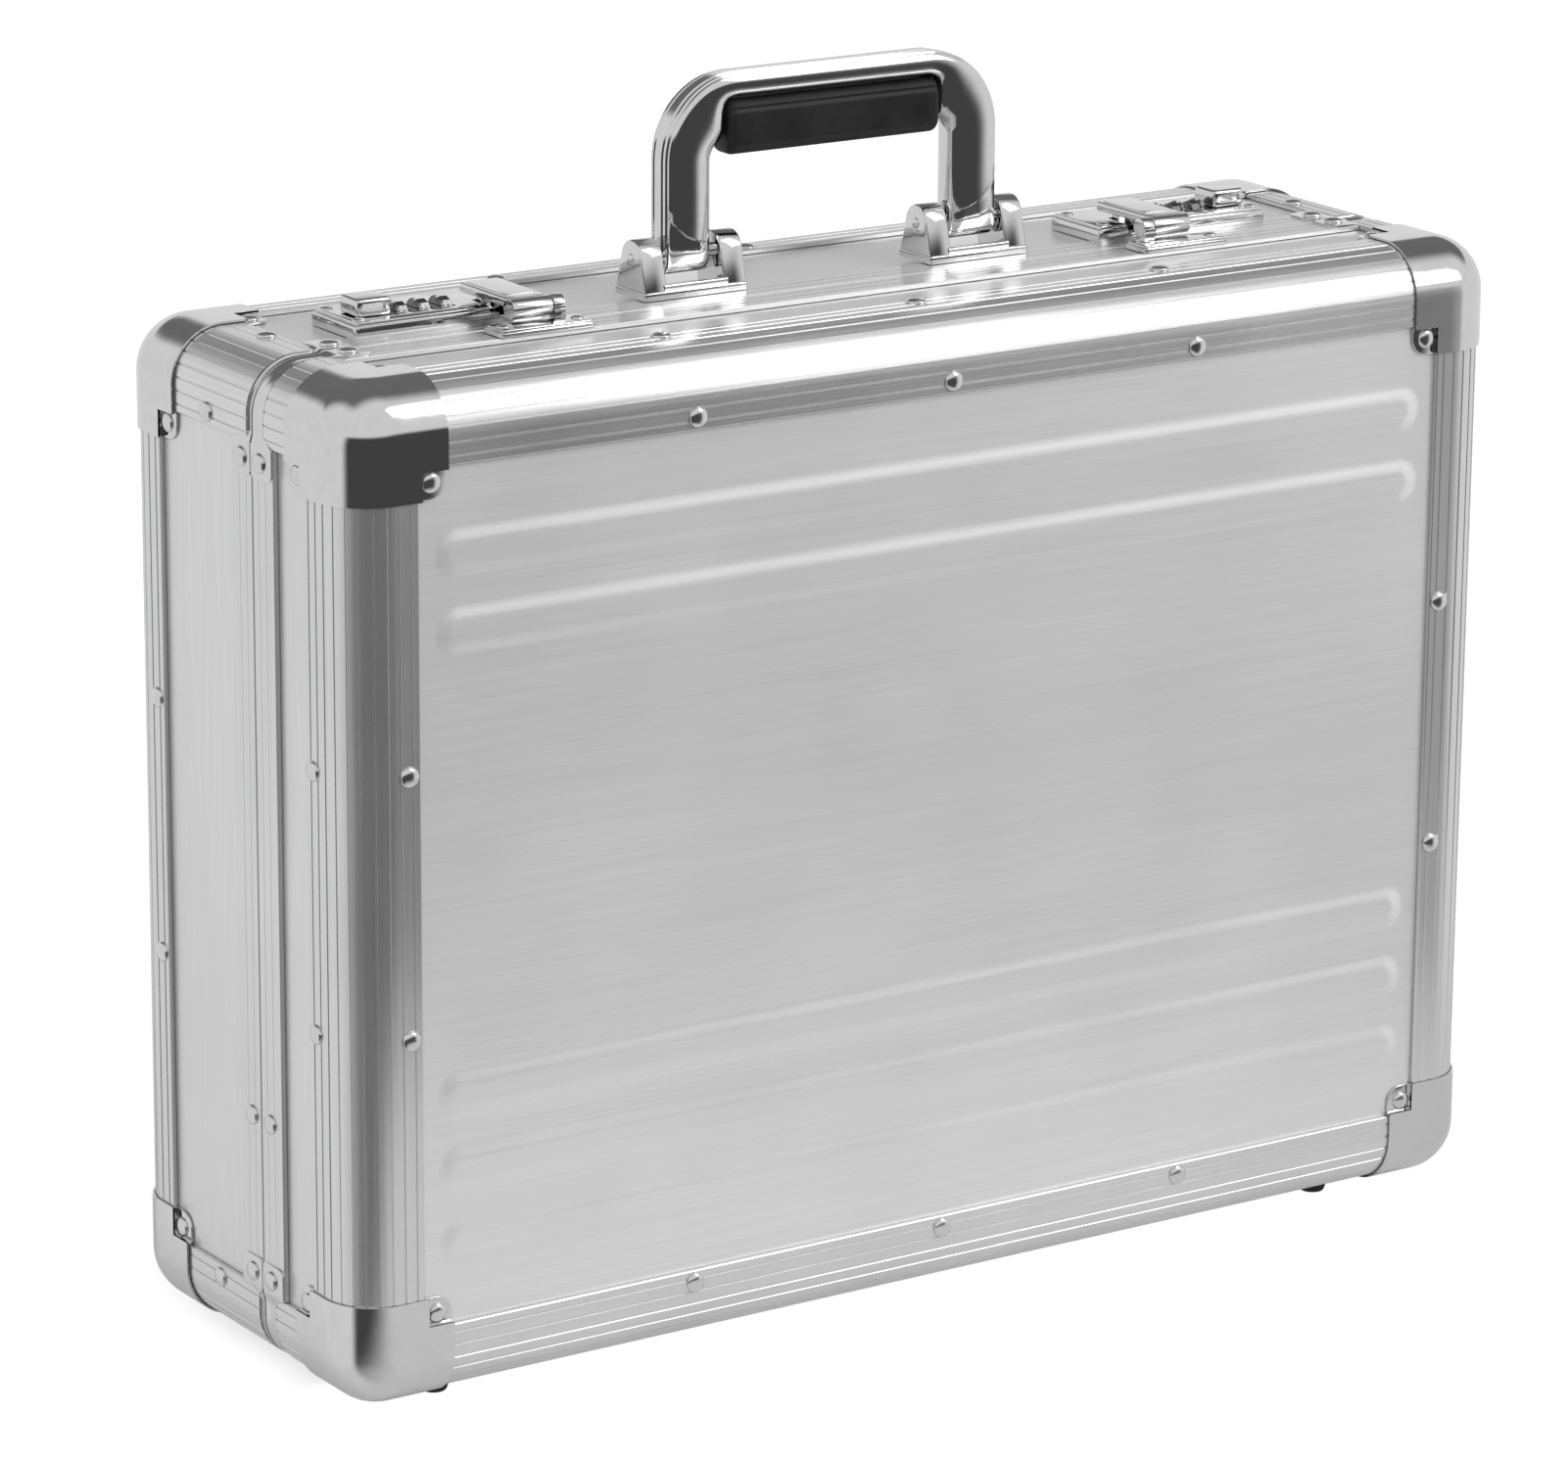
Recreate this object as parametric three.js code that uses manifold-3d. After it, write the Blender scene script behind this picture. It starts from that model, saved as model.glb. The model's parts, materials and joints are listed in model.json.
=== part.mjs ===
// Aluminium attache case: two framed shells hinged along the bottom, a swing handle and two
// combination hasp locks on top, four rubber feet below and two folding stays inside.
// Millimetres. X runs along the width, the lid faces -Y and +Z is up.
// The origin is on the floor, under the middle of the closed case.
import * as THREE from 'three';
import { RoundedBoxGeometry } from 'three/addons/geometries/RoundedBoxGeometry.js';
import { mergeVertices } from 'three/addons/utils/BufferGeometryUtils.js';
import Module from 'manifold-3d';

const wasm = await Module();
wasm.setup();

// ---------------------------------------------------------------- driving dimensions

const gap = 0.3;                // left between pieces that touch
const overlap = 1;              // how far a cut, or a joined piece, runs past a face

// The closed case
const caseWidth = 460;          // across the end extrusions
const caseDepth = 148;          // front face to rear face
const caseHeight = 340;         // without feet, locks and handle
const lidDepth = 59.5;          // front face to the parting line
const footHeight = 8;

// Extrusions along the edges
const edgeRadius = 18;          // outer radius of every long edge
const edgeFlange = 26.5;        // reach of an extrusion from the case's outer corner
const extrusionWall = 1.5;
const arcSteps = 2;             // half the flats on a quarter round

// Boards and lining
const boardThickness = 4;
const liningThickness = 1;
const liningClearance = 0.8;    // to the boards; clears the rounded extrusions' insides
const bandHeight = 17.8;        // pressed bands on the front and rear panels
const bandPitch = 25.5;
const bandProud = 0.8;
const bandEndInset = 32.5;      // case's end to a band's end
const lowBandInset = 53.2;      // case bottom to the middle of the lowest band
const highBandInset = 55.6;     // case top to the middle of the highest band
const lowBands = 3;
const highBands = 2;

// Rim profiles at the parting line
const rimWidth = 13.8;          // outer flange, from the parting line
const rimDepth = 8;             // from the outer face inwards
const rimWeb = 4;               // along Y, beside the parting line
const rimInnerFlange = 12.5;
const lipReach = 3;             // how far the base's lip enters the lid
const lipWall = 1.2;
const lipClearance = 0.4;
const lidCornerFlange = 7.5;    // outer flange where the lid's rim turns a corner

// Corner caps
const capReach = 37;
const capSheet = 0.7;
const capTabRadius = 6;

// Feet
const footTopRadius = 7;
const footBottomRadius = 4.5;
const footStudRadius = 3;
const footFromCap = 10;         // corner cap's edge to the foot's middle
const footInset = 30.2;         // outer face of the shell to the foot's middle

// Hinge under the case
const hingeLength = 300;
const hingeKnuckles = 7;
const knuckleRadius = 2.2;
const hingePinRadius = 1;
const hingeLeafWidth = 12;
const hingeLeafThickness = 1.2;
const hingeBoreClearance = 0.5;

// Stays inside the ends of the case
const stayHeight = 86.3;        // pivots above the case's bottom
const stayPivotOffset = 6.05;   // pivots to either side of the parting line
const stayArmWidth = 9;
const stayArmThickness = 1.5;
const stayPinRadius = 2;
const stayPinClearance = 0.5;
const stayHeadRadius = 3.6;
const stayHeadThickness = 1;

// Handle and its brackets
const handlePivotX = 57;        // middle of each leg and bracket
const handlePivotY = 3;
const handleRise = 72.5;        // top of the bar above the case's top
const handleThickness = 13;
const handleLegWidth = 19;
const handleOuterRadius = 28;
const handleBar = 8.7;
const handleShoulder = 5;       // how far the corners reach in beside the grip
const handleShoulderRise = 46;
const handlePinRadius = 2.5;
const handlePinClearance = 0.5;
const handleFloorClearance = 2; // between the legs' round ends and a bracket's floor
const gripDrop = 18.7;          // grip's height below the bar
const gripThickness = 14;
const gripRadius = 4;
const bracketWidth = 40;
const bracketDepth = 18.6;
const bracketEar = 8.8;
const bracketFloor = 4.5;       // above the case's top
const bracketEarRadius = 6.5;

// Locks: sizes are for the left one, and the right one is its mirror image
const lockEndInset = 46.5;      // case's end to the plate
const lockPlateLength = 71.5;
const lockPlateWidth = 29.7;
const lockPlateRise = 4;        // above the case's top
const dialRadius = 5;
const dialWidth = 4.8;
const dialPitch = 8.3;
const dialOffset = 30.9;        // plate's outer end to the middle dial
const dialRise = 2;             // dial axle above the case's top
const dialInset = 12.7;         // dial axle behind the plate's front edge
const dialClearance = 0.4;
const dialAxleRadius = 1.2;
const dialBoreClearance = 0.4;
const dialCount = 3;
const sliderOffset = 4.5;       // plate's outer end to the button
const sliderLength = 13;
const sliderWidth = 12;
const sliderRise = 10;
const sliderTravel = 4;
const sliderStem = 6;
const sliderFoot = 9;
const sliderFootThickness = 1.5;
const haspOffset = 47.5;        // plate's outer end to the hasp
const haspWidth = 15;
const haspReach = 32;           // barrel to the hasp's free end
const haspThickness = 3;
const barrelRadius = 3.4;
const barrelSetback = 2.5;      // barrel in front of the parting line
const barrelPinRadius = 1.3;
const barrelClearance = 0.4;
const tongueWidth = 7;
const tongueThickness = 4;
const tongueReach = 26;         // barrel to the tongue's middle
const tongueTip = 1.4;          // lowest point above the case's top
const tongueClearance = 1;      // round the tongue, in the plate's notch
const tongueTipClearance = 0.6; // under it
const haspPlateOffset = 37.5;   // lock plate's outer end to the hasp plate
const haspPlateLength = 36;
const haspPlateWidth = 12.3;
const haspPlateRise = 2.6;
const haspKnuckleWidth = 4.4;

// ---------------------------------------------------------------- places worked out from them

const halfWidth = caseWidth / 2;
const halfDepth = caseDepth / 2;
const halfHeight = caseHeight / 2;
const bottomZ = footHeight;
const topZ = bottomZ + caseHeight;
const middleZ = bottomZ + halfHeight;
const partingY = -halfDepth + lidDepth;
const boardInset = extrusionWall + gap;                 // outer face of every board
const boardInner = boardInset + boardThickness;
const liningInset = boardInner + liningClearance;
const rimChannelInset = boardInner + gap;
const hingeAxisZ = bottomZ - gap - knuckleRadius;
const lockFrontY = partingY + rimWidth + gap;
const dialY = lockFrontY + dialInset;
const footX = halfWidth - capReach - footFromCap;
const handlePivotRise = bracketFloor + handleFloorClearance + handleThickness / 2;
const lockPlateOuterX = halfWidth - lockEndInset;
const lockPlateInnerX = lockPlateOuterX - lockPlateLength;
const dialMiddleX = lockPlateOuterX - dialOffset;
const sliderOuterX = lockPlateOuterX - sliderOffset;
const haspOuterX = lockPlateOuterX - haspOffset;
const haspPlateOuterX = lockPlateOuterX - haspPlateOffset;
const haspPlateInnerX = haspPlateOuterX - haspPlateLength;
const barrelRise = haspPlateRise + barrelClearance + barrelRadius;
const haspRise = barrelRise + barrelRadius;

// A shell's own measures: side is -1 for the lid and 1 for the base.
const shells = [
  { name: 'lid', side: -1, depth: lidDepth, neck: lidCornerFlange },
  { name: 'base', side: 1, depth: caseDepth - lidDepth, neck: rimWeb + gap },
];

// ---------------------------------------------------------------- materials

function finish(color, roughness, metalness) {
  return new THREE.MeshStandardMaterial({ color, roughness, metalness });
}

const extrusionMetal = finish(0xc9cbcd, 0.32, 1);
const panelMetal = finish(0xbfc1c3, 0.38, 1);
const chrome = finish(0xe4e6e8, 0.08, 1);
const blackGrip = finish(0x161617, 0.55, 0);
const blackRubber = finish(0x1a1a1a, 0.8, 0);
const blackLining = finish(0x1d1d20, 0.95, 0);
const dialMetal = finish(0xb9bbbe, 0.25, 1);

// ---------------------------------------------------------------- solids

// A closed three.js geometry as a solid that can be joined and cut.
function solid(geometry) {
  const bare = geometry.clone();
  bare.deleteAttribute('normal');
  bare.deleteAttribute('uv');
  const merged = mergeVertices(bare, 1e-4);
  return new wasm.Manifold(new wasm.Mesh({
    numProp: 3,
    vertProperties: new Float32Array(merged.attributes.position.array),
    triVerts: new Uint32Array(merged.index.array),
  }));
}

// A joined or cut solid as a three.js geometry.
function geometryOf(shape) {
  const mesh = shape.getMesh();
  const geometry = new THREE.BufferGeometry();
  geometry.setAttribute('position', new THREE.BufferAttribute(mesh.vertProperties, 3));
  geometry.setIndex(new THREE.BufferAttribute(mesh.triVerts, 1));
  const faceted = geometry.toNonIndexed();
  faceted.computeVertexNormals();
  return faceted;
}

// A box between two values on each axis, given in either order.
function block([x0, x1], [y0, y1], [z0, z1]) {
  const box = new THREE.BoxGeometry(Math.abs(x1 - x0), Math.abs(y1 - y0), Math.abs(z1 - z0));
  return solid(box.translate((x0 + x1) / 2, (y0 + y1) / 2, (z0 + z1) / 2));
}

// A round bar along X.
function barX(radius, [x0, x1], y, z, sides) {
  const bar = new THREE.CylinderGeometry(radius, radius, Math.abs(x1 - x0), sides);
  return solid(bar.rotateZ(Math.PI / 2).translate((x0 + x1) / 2, y, z));
}

// An outline in the YZ plane, pushed along X.
function prismX(outline, [x0, x1], curveSegments = 4) {
  const depth = Math.abs(x1 - x0);
  const prism = new THREE.ExtrudeGeometry(outline, { depth, bevelEnabled: false, curveSegments });
  const turn = new THREE.Matrix4().makeBasis(
    new THREE.Vector3(0, 1, 0), new THREE.Vector3(0, 0, 1), new THREE.Vector3(1, 0, 0));
  return solid(prism.applyMatrix4(turn).translate(Math.min(x0, x1), 0, 0));
}

// An outline in the XZ plane, pushed along Y.
function prismY(outline, [y0, y1], curveSegments = 4) {
  const depth = Math.abs(y1 - y0);
  const prism = new THREE.ExtrudeGeometry(outline, { depth, bevelEnabled: false, curveSegments });
  return solid(prism.rotateX(Math.PI / 2).translate(0, Math.max(y0, y1), 0));
}

// The whole closed case with its rounded edges, as an offset form inside its outer faces.
const formCache = new Map();
function caseForm(inset) {
  if (!formCache.has(inset)) {
    const form = new RoundedBoxGeometry(caseWidth - 2 * inset, caseDepth - 2 * inset,
      caseHeight - 2 * inset, arcSteps, edgeRadius - inset);
    formCache.set(inset, solid(form.translate(0, 0, middleZ)));
  }
  return formCache.get(inset);
}

// Y of a point that lies a distance inwards from a shell's outer face.
function inward(shell, distance) {
  return shell.side * (halfDepth - distance);
}

// Whatever lies between two offset forms, cut to a range of distances from the shell's outer face.
function wallLayer(shell, outerInset, innerInset, [near, far]) {
  const reach = halfWidth + halfHeight;
  const slab = block([-reach, reach], [inward(shell, near), inward(shell, far)],
    [middleZ - reach, middleZ + reach]);
  return caseForm(outerInset).subtract(caseForm(innerInset)).intersect(slab);
}

// The square region at one of the four long corners, a reach wide.
function cornerRegion(sideX, sideZ, reach, [y0, y1]) {
  const beyond = 5;
  return block([sideX * (halfWidth - reach), sideX * (halfWidth + beyond)], [y0, y1],
    [middleZ + sideZ * (halfHeight - reach), middleZ + sideZ * (halfHeight + beyond)]);
}

// ---------------------------------------------------------------- the assembly

const attacheCase = new THREE.Group();
const corners = [[-1, 1, 'top_left'], [1, 1, 'top_right'], [-1, -1, 'bottom_left'], [1, -1, 'bottom_right']];

function add(name, shape, material) {
  const geometry = shape.isBufferGeometry ? shape : geometryOf(shape);
  const mesh = new THREE.Mesh(geometry, material);
  mesh.name = name;
  attacheCase.add(mesh);
  return mesh;
}

// The left piece as modelled, and the right one as its mirror image.
function addPair(leftName, rightName, shape, material) {
  const geometry = geometryOf(shape);
  add(leftName, geometry, material);
  add(rightName, geometry, material).scale.x = -1;
}

// ---- boards: one large panel and four walls to each shell

function bandOutline(z) {
  const radius = bandHeight / 2;
  const straight = halfWidth - bandEndInset - radius;
  const outline = new THREE.Shape();
  outline.absarc(straight, z, radius, -Math.PI / 2, Math.PI / 2);
  outline.absarc(-straight, z, radius, Math.PI / 2, Math.PI * 1.5);
  outline.closePath();
  return outline;
}

function panel(shell) {
  const x = halfWidth - edgeRadius;
  let board = block([-x, x], [inward(shell, boardInset), inward(shell, boardInner)],
    [bottomZ + edgeRadius, topZ - edgeRadius]);
  const bands = [];
  for (let i = 0; i < lowBands; i++) bands.push(bottomZ + lowBandInset + i * bandPitch);
  for (let i = 0; i < highBands; i++) bands.push(topZ - highBandInset - i * bandPitch);
  const sunk = boardInset + boardThickness / 2;
  for (const z of bands) {
    board = board.add(prismY(bandOutline(z), [inward(shell, boardInset - bandProud), inward(shell, sunk)]));
  }
  return board;
}

// The cut-out in the base's top board that a lock's dials and slider reach into.
function lockPocket(sideX) {
  const outer = sliderOuterX + sliderTravel;
  const inner = dialMiddleX - dialPitch * (dialCount - 1) / 2 - dialWidth;
  const half = dialRadius + dialClearance;
  return block([sideX * outer, sideX * inner], [dialY - half, dialY + half],
    [topZ - boardInner - overlap, topZ]);
}

function addWalls(shell) {
  const y = [inward(shell, edgeRadius), inward(shell, shell.depth - rimWeb - gap)];
  const x = halfWidth - edgeRadius;
  const low = [bottomZ + boardInset, bottomZ + boardInner];
  const high = [topZ - boardInner, topZ - boardInset];
  const upright = [bottomZ + edgeRadius, topZ - edgeRadius];
  let topWall = block([-x, x], y, high);
  if (shell.name === 'base') topWall = topWall.subtract(lockPocket(-1)).subtract(lockPocket(1));
  add(`${shell.name}_top_wall`, topWall, panelMetal);
  add(`${shell.name}_bottom_wall`, block([-x, x], y, low), panelMetal);
  for (const [sideX, side] of [[-1, 'left'], [1, 'right']]) {
    const end = [sideX * (halfWidth - boardInset), sideX * (halfWidth - boardInner)];
    add(`${shell.name}_${side}_wall`, block(end, y, upright), panelMetal);
  }
}

// ---- extrusions: a frame round the panel, a bar along each long corner, and the rim

function edgeFrame(shell) {
  const x = halfWidth - edgeFlange;
  const window = block([-x, x], [inward(shell, -overlap), inward(shell, boardInset)],
    [bottomZ + edgeFlange, topZ - edgeFlange]);
  return wallLayer(shell, 0, extrusionWall, [-overlap, edgeFlange]).subtract(window);
}

function cornerBar(shell, sideX, sideZ) {
  const range = [edgeFlange + gap, shell.depth - shell.neck - gap];
  const region = cornerRegion(sideX, sideZ, edgeFlange, range.map((d) => inward(shell, d)));
  return wallLayer(shell, 0, extrusionWall, range).intersect(region);
}

function rim(shell) {
  const edge = shell.depth - gap / 2;
  let flange = wallLayer(shell, 0, extrusionWall, [shell.depth - rimWidth, edge]);
  const cut = [shell.depth - rimWidth - overlap, shell.depth - shell.neck].map((d) => inward(shell, d));
  for (const [sideX, sideZ] of corners) {
    flange = flange.subtract(cornerRegion(sideX, sideZ, edgeFlange + gap, cut));
  }
  const web = wallLayer(shell, 0, rimDepth, [shell.depth - rimWeb, edge]);
  const inner = wallLayer(shell, rimChannelInset, rimDepth, [shell.depth - rimInnerFlange, edge]);
  let profile = flange.add(web).add(inner);
  if (shell.name === 'base') profile = profile.add(rimLip(shell));
  return profile;
}

// The lip round the base's mouth, which enters the lid and lines the two shells up.
function rimLip(shell) {
  const face = rimDepth + lipClearance;
  const root = wallLayer(shell, rimDepth - overlap, face + lipWall,
    [shell.depth - lipReach, shell.depth - gap / 2]);
  return root.add(wallLayer(shell, face, face + lipWall, [shell.depth - lipReach, shell.depth + lipReach]));
}

function lining(shell) {
  const range = [0, shell.depth - rimInnerFlange - gap];
  return wallLayer(shell, liningInset, liningInset + liningThickness, range);
}

// ---- corner caps: a thin rounded shell with three tabs, one stepping down to each board
// It is made with the case's outer corner at the origin and the case towards -X, -Y and -Z.

function capShell() {
  const size = 4 * capReach;
  const cube = (proud) => solid(new RoundedBoxGeometry(size + 2 * proud, size + 2 * proud,
    size + 2 * proud, arcSteps, edgeRadius + proud).translate(-size / 2, -size / 2, -size / 2));
  const reach = [-capReach, gap + capSheet + overlap];
  return cube(gap + capSheet).subtract(cube(gap)).intersect(block(reach, reach, reach));
}

function capTab() {
  const start = -(edgeFlange + gap);
  const end = -capReach;
  const outline = new THREE.Shape();
  outline.moveTo(start, start);
  outline.lineTo(start, end);
  outline.absarc(end + capTabRadius, end + capTabRadius, capTabRadius, Math.PI * 1.5, Math.PI, true);
  outline.lineTo(end, start);
  const low = -(boardInset - gap);
  const tab = solid(new THREE.ExtrudeGeometry(outline, { depth: capSheet, bevelEnabled: false, curveSegments: 3 })
    .translate(0, 0, low));
  const riser = [start - capSheet, start];
  const height = [low, gap + capSheet];
  return tab.add(block(riser, [end, start], height)).add(block([end, start], riser, height));
}

function cornerCap() {
  const cut = [-(edgeFlange + gap + capSheet), -2 * capReach];
  const window = block(cut, cut, [-gap, gap + capSheet + overlap]);
  const nextFace = new THREE.Matrix4().makeBasis(
    new THREE.Vector3(0, 1, 0), new THREE.Vector3(0, 0, 1), new THREE.Vector3(1, 0, 0));
  const turned = (shape, times) => {
    const geometry = geometryOf(shape);
    for (let i = 0; i < times; i++) geometry.applyMatrix4(nextFace);
    return solid(geometry);
  };
  let cap = capShell();
  for (const face of [0, 1, 2]) cap = cap.subtract(turned(window, face));
  for (const face of [0, 1, 2]) cap = cap.add(turned(capTab(), face));
  return cap;
}

function addCaps(shell, capGeometry) {
  for (const [sideX, sideZ, where] of corners) {
    const cap = add(`${shell.name}_corner_cap_${where}`, capGeometry, chrome);
    cap.position.set(sideX * halfWidth, shell.side * halfDepth, middleZ + sideZ * halfHeight);
    cap.scale.set(sideX, shell.side, sideZ);
  }
}

// ---- feet: a rubber cone with a stud that reaches the recessed board

function foot() {
  const top = footHeight - gap;
  const profile = [
    [0, 0], [footBottomRadius, 0], [footTopRadius, top], [footStudRadius, top],
    [footStudRadius, footHeight + boardInset - gap], [0, footHeight + boardInset - gap],
  ].map(([r, z]) => new THREE.Vector2(r, z));
  return new THREE.LatheGeometry(profile, 16).rotateX(Math.PI / 2);
}

function addFeet(shell) {
  for (const [sideX, side] of [[-1, 'left'], [1, 'right']]) {
    const mesh = add(`${shell.name}_foot_${side}`, foot(), blackRubber);
    mesh.position.set(sideX * footX, inward(shell, footInset), 0);
  }
}

// ---- hinge: two leaves under the rims, with alternate knuckles on one pin

function knuckleRange(index) {
  const pitch = hingeLength / hingeKnuckles;
  const start = -hingeLength / 2 + index * pitch;
  return [start + gap / 2, start + pitch - gap / 2];
}

function hingeLeaf(shell) {
  const away = (distance) => partingY + shell.side * distance;
  const plate = [bottomZ - gap - hingeLeafThickness, bottomZ - gap];
  const first = shell.name === 'base' ? 0 : 1;
  let leaf = block([-hingeLength / 2, hingeLength / 2],
    [away(knuckleRadius + gap), away(hingeLeafWidth)], plate);
  for (let i = first; i < hingeKnuckles; i += 2) {
    const range = knuckleRange(i);
    leaf = leaf.add(barX(knuckleRadius, range, partingY, hingeAxisZ, 12));
    leaf = leaf.add(block(range, [away(0), away(knuckleRadius + overlap)], plate));
  }
  const pinEnds = [-hingeLength / 2 + gap, hingeLength / 2 - gap];
  if (shell.name === 'base') return leaf.add(barX(hingePinRadius, pinEnds, partingY, hingeAxisZ, 10));
  return leaf.subtract(barX(hingePinRadius + hingeBoreClearance, pinEnds, partingY, hingeAxisZ, 10));
}

// ---- stays: two arms at each end, as long as the pivots stand from the hinge, so that the four
// pivots make a rhombus and each arm turns exactly as far as the lid does

const stayPivotZ = bottomZ + stayHeight;
const stayElbowZ = stayPivotZ + (stayPivotZ - hingeAxisZ);

// A flat arm with round ends between two points in the YZ plane.
function armOutline([y0, z0], [y1, z1]) {
  const radius = stayArmWidth / 2;
  const along = Math.atan2(z1 - z0, y1 - y0);
  const outline = new THREE.Shape();
  outline.absarc(y1, z1, radius, along - Math.PI / 2, along + Math.PI / 2);
  outline.absarc(y0, z0, radius, along + Math.PI / 2, along + Math.PI * 1.5);
  outline.closePath();
  return outline;
}

// Distances from the end face inwards, on the left side of the case.
const stayRange = (near, far) => [-(halfWidth - near), -(halfWidth - far)];
const baseArmNear = rimDepth + lipClearance + lipWall + lipClearance;
const lidArmNear = baseArmNear + stayArmThickness + gap;
const stayHeadNear = lidArmNear + stayArmThickness + gap;

function stayBaseArm() {
  const pivotY = partingY + stayPivotOffset;
  const arm = prismX(armOutline([pivotY, stayPivotZ], [partingY, stayElbowZ]),
    stayRange(baseArmNear, baseArmNear + stayArmThickness));
  const pivot = barX(stayPinRadius, stayRange(rimDepth + gap, baseArmNear + overlap), pivotY, stayPivotZ, 10);
  const elbow = barX(stayPinRadius,
    stayRange(baseArmNear + overlap, stayHeadNear + stayHeadThickness / 2), partingY, stayElbowZ, 10);
  const head = barX(stayHeadRadius, stayRange(stayHeadNear, stayHeadNear + stayHeadThickness),
    partingY, stayElbowZ, 12);
  return arm.add(pivot).add(elbow).add(head);
}

function stayLidArm() {
  const pivotY = partingY - stayPivotOffset;
  const arm = prismX(armOutline([pivotY, stayPivotZ], [partingY, stayElbowZ]),
    stayRange(lidArmNear, lidArmNear + stayArmThickness));
  const pivot = barX(stayPinRadius, stayRange(rimDepth + gap, lidArmNear + overlap), pivotY, stayPivotZ, 10);
  const bore = barX(stayPinRadius + stayPinClearance,
    stayRange(lidArmNear - overlap, lidArmNear + stayArmThickness + overlap), partingY, stayElbowZ, 10);
  return arm.add(pivot).subtract(bore);
}

// ---- handle: a D-shaped frame with a grip under its bar, swinging in two clevis brackets

const pivotZ = topZ + handlePivotRise;

function handleOutline() {
  const half = handlePivotX + handleLegWidth / 2;
  const inner = handlePivotX - handleLegWidth / 2;
  const shoulder = inner - handleShoulder;
  const top = topZ + handleRise;
  const low = pivotZ - handleThickness / 2;
  const barBottom = top - handleBar;
  const shoulderZ = topZ + handleShoulderRise;
  const outline = new THREE.Shape();
  outline.moveTo(inner, low);
  outline.lineTo(half, low);
  outline.absarc(half - handleOuterRadius, top - handleOuterRadius, handleOuterRadius, 0, Math.PI / 2);
  outline.absarc(-half + handleOuterRadius, top - handleOuterRadius, handleOuterRadius, Math.PI / 2, Math.PI);
  outline.lineTo(-half, low);
  outline.lineTo(-inner, low);
  outline.lineTo(-inner, shoulderZ);
  outline.lineTo(-shoulder, shoulderZ + handleShoulder);
  outline.lineTo(-shoulder, barBottom);
  outline.lineTo(shoulder, barBottom);
  outline.lineTo(shoulder, shoulderZ + handleShoulder);
  outline.lineTo(inner, shoulderZ);
  outline.closePath();
  return outline;
}

// The handle seen from its end: straight above the pivot and round below it.
function handleProfile() {
  const half = handleThickness / 2;
  const top = topZ + handleRise + overlap;
  const outline = new THREE.Shape();
  outline.moveTo(handlePivotY + half, top);
  outline.lineTo(handlePivotY - half, top);
  outline.absarc(handlePivotY, pivotZ, half, Math.PI, Math.PI * 2);
  outline.closePath();
  return outline;
}

function handleFrame() {
  const half = handlePivotX + handleLegWidth;
  const y = [handlePivotY - handleThickness, handlePivotY + handleThickness];
  const bore = barX(handlePinRadius + handlePinClearance, [-half, half], handlePivotY, pivotZ, 12);
  return prismY(handleOutline(), y, 5).intersect(prismX(handleProfile(), [-half, half])).subtract(bore);
}

function handleGrip() {
  const half = handlePivotX - handleLegWidth / 2 - handleShoulder - gap;
  const top = topZ + handleRise - handleBar - gap;
  const grip = new RoundedBoxGeometry(2 * half, gripThickness, gripDrop, 2, gripRadius);
  return grip.translate(0, handlePivotY, top - gripDrop / 2);
}

// An ear of a bracket: wide at its foot and round at its top.
function earOutline() {
  const foot = bracketDepth / 2;
  const low = topZ + gap;
  const outline = new THREE.Shape();
  outline.moveTo(handlePivotY - foot, low);
  outline.lineTo(handlePivotY + foot, low);
  outline.absarc(handlePivotY, pivotZ, bracketEarRadius, 0, Math.PI);
  outline.closePath();
  return outline;
}

function handleBracket() {
  const outer = -(handlePivotX + bracketWidth / 2);
  const inner = -(handlePivotX - bracketWidth / 2);
  const foot = bracketDepth / 2;
  const y = [handlePivotY - foot, handlePivotY + foot];
  const padFront = partingY + rimWidth + gap;
  return prismX(earOutline(), [outer, outer + bracketEar])
    .add(prismX(earOutline(), [inner - bracketEar, inner]))
    .add(block([outer, inner], y, [topZ + gap, topZ + bracketFloor]))
    .add(block([outer, inner], [padFront, y[1]], [topZ - boardInset + gap, topZ + bracketFloor]))
    .add(barX(handlePinRadius, [outer + overlap, inner - overlap], handlePivotY, pivotZ, 12));
}

// ---- locks: the plate, dials and slider on the base, the hasp and its plate on the lid

const dialX = (index) => -(dialMiddleX - (index - (dialCount - 1) / 2) * dialPitch);
const dialZ = topZ + dialRise;
const stemMiddleX = -(sliderOuterX - sliderLength / 2);
const barrelY = partingY - barrelSetback;
const barrelZ = topZ + barrelRise;
const tongueY = barrelY + tongueReach;
const tongueX = -(haspOuterX - haspWidth / 2);

function lockPlate() {
  const through = [topZ - boardInset, topZ + lockPlateRise + overlap];
  let plate = block([-lockPlateOuterX, -lockPlateInnerX], [lockFrontY, lockFrontY + lockPlateWidth],
    [topZ - boardInset + gap, topZ + lockPlateRise]);
  const half = dialWidth / 2 + dialClearance;
  const long = dialRadius + dialClearance;
  for (let i = 0; i < dialCount; i++) {
    plate = plate.subtract(block([dialX(i) - half, dialX(i) + half], [dialY - long, dialY + long], through));
  }
  const stem = sliderStem / 2 + dialClearance;
  plate = plate.subtract(block([stemMiddleX - stem - sliderTravel, stemMiddleX + stem],
    [dialY - stem, dialY + stem], through));
  const notch = tongueWidth / 2 + tongueClearance;
  plate = plate.subtract(block([tongueX - notch, tongueX + notch],
    [lockFrontY - overlap, tongueY + tongueThickness / 2 + tongueClearance],
    [topZ + tongueTip - tongueTipClearance, topZ + lockPlateRise + overlap]));
  const axle = [dialX(0) - dialWidth, dialX(dialCount - 1) + dialWidth];
  return plate.add(barX(dialAxleRadius, axle, dialY, dialZ, 10));
}

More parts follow.
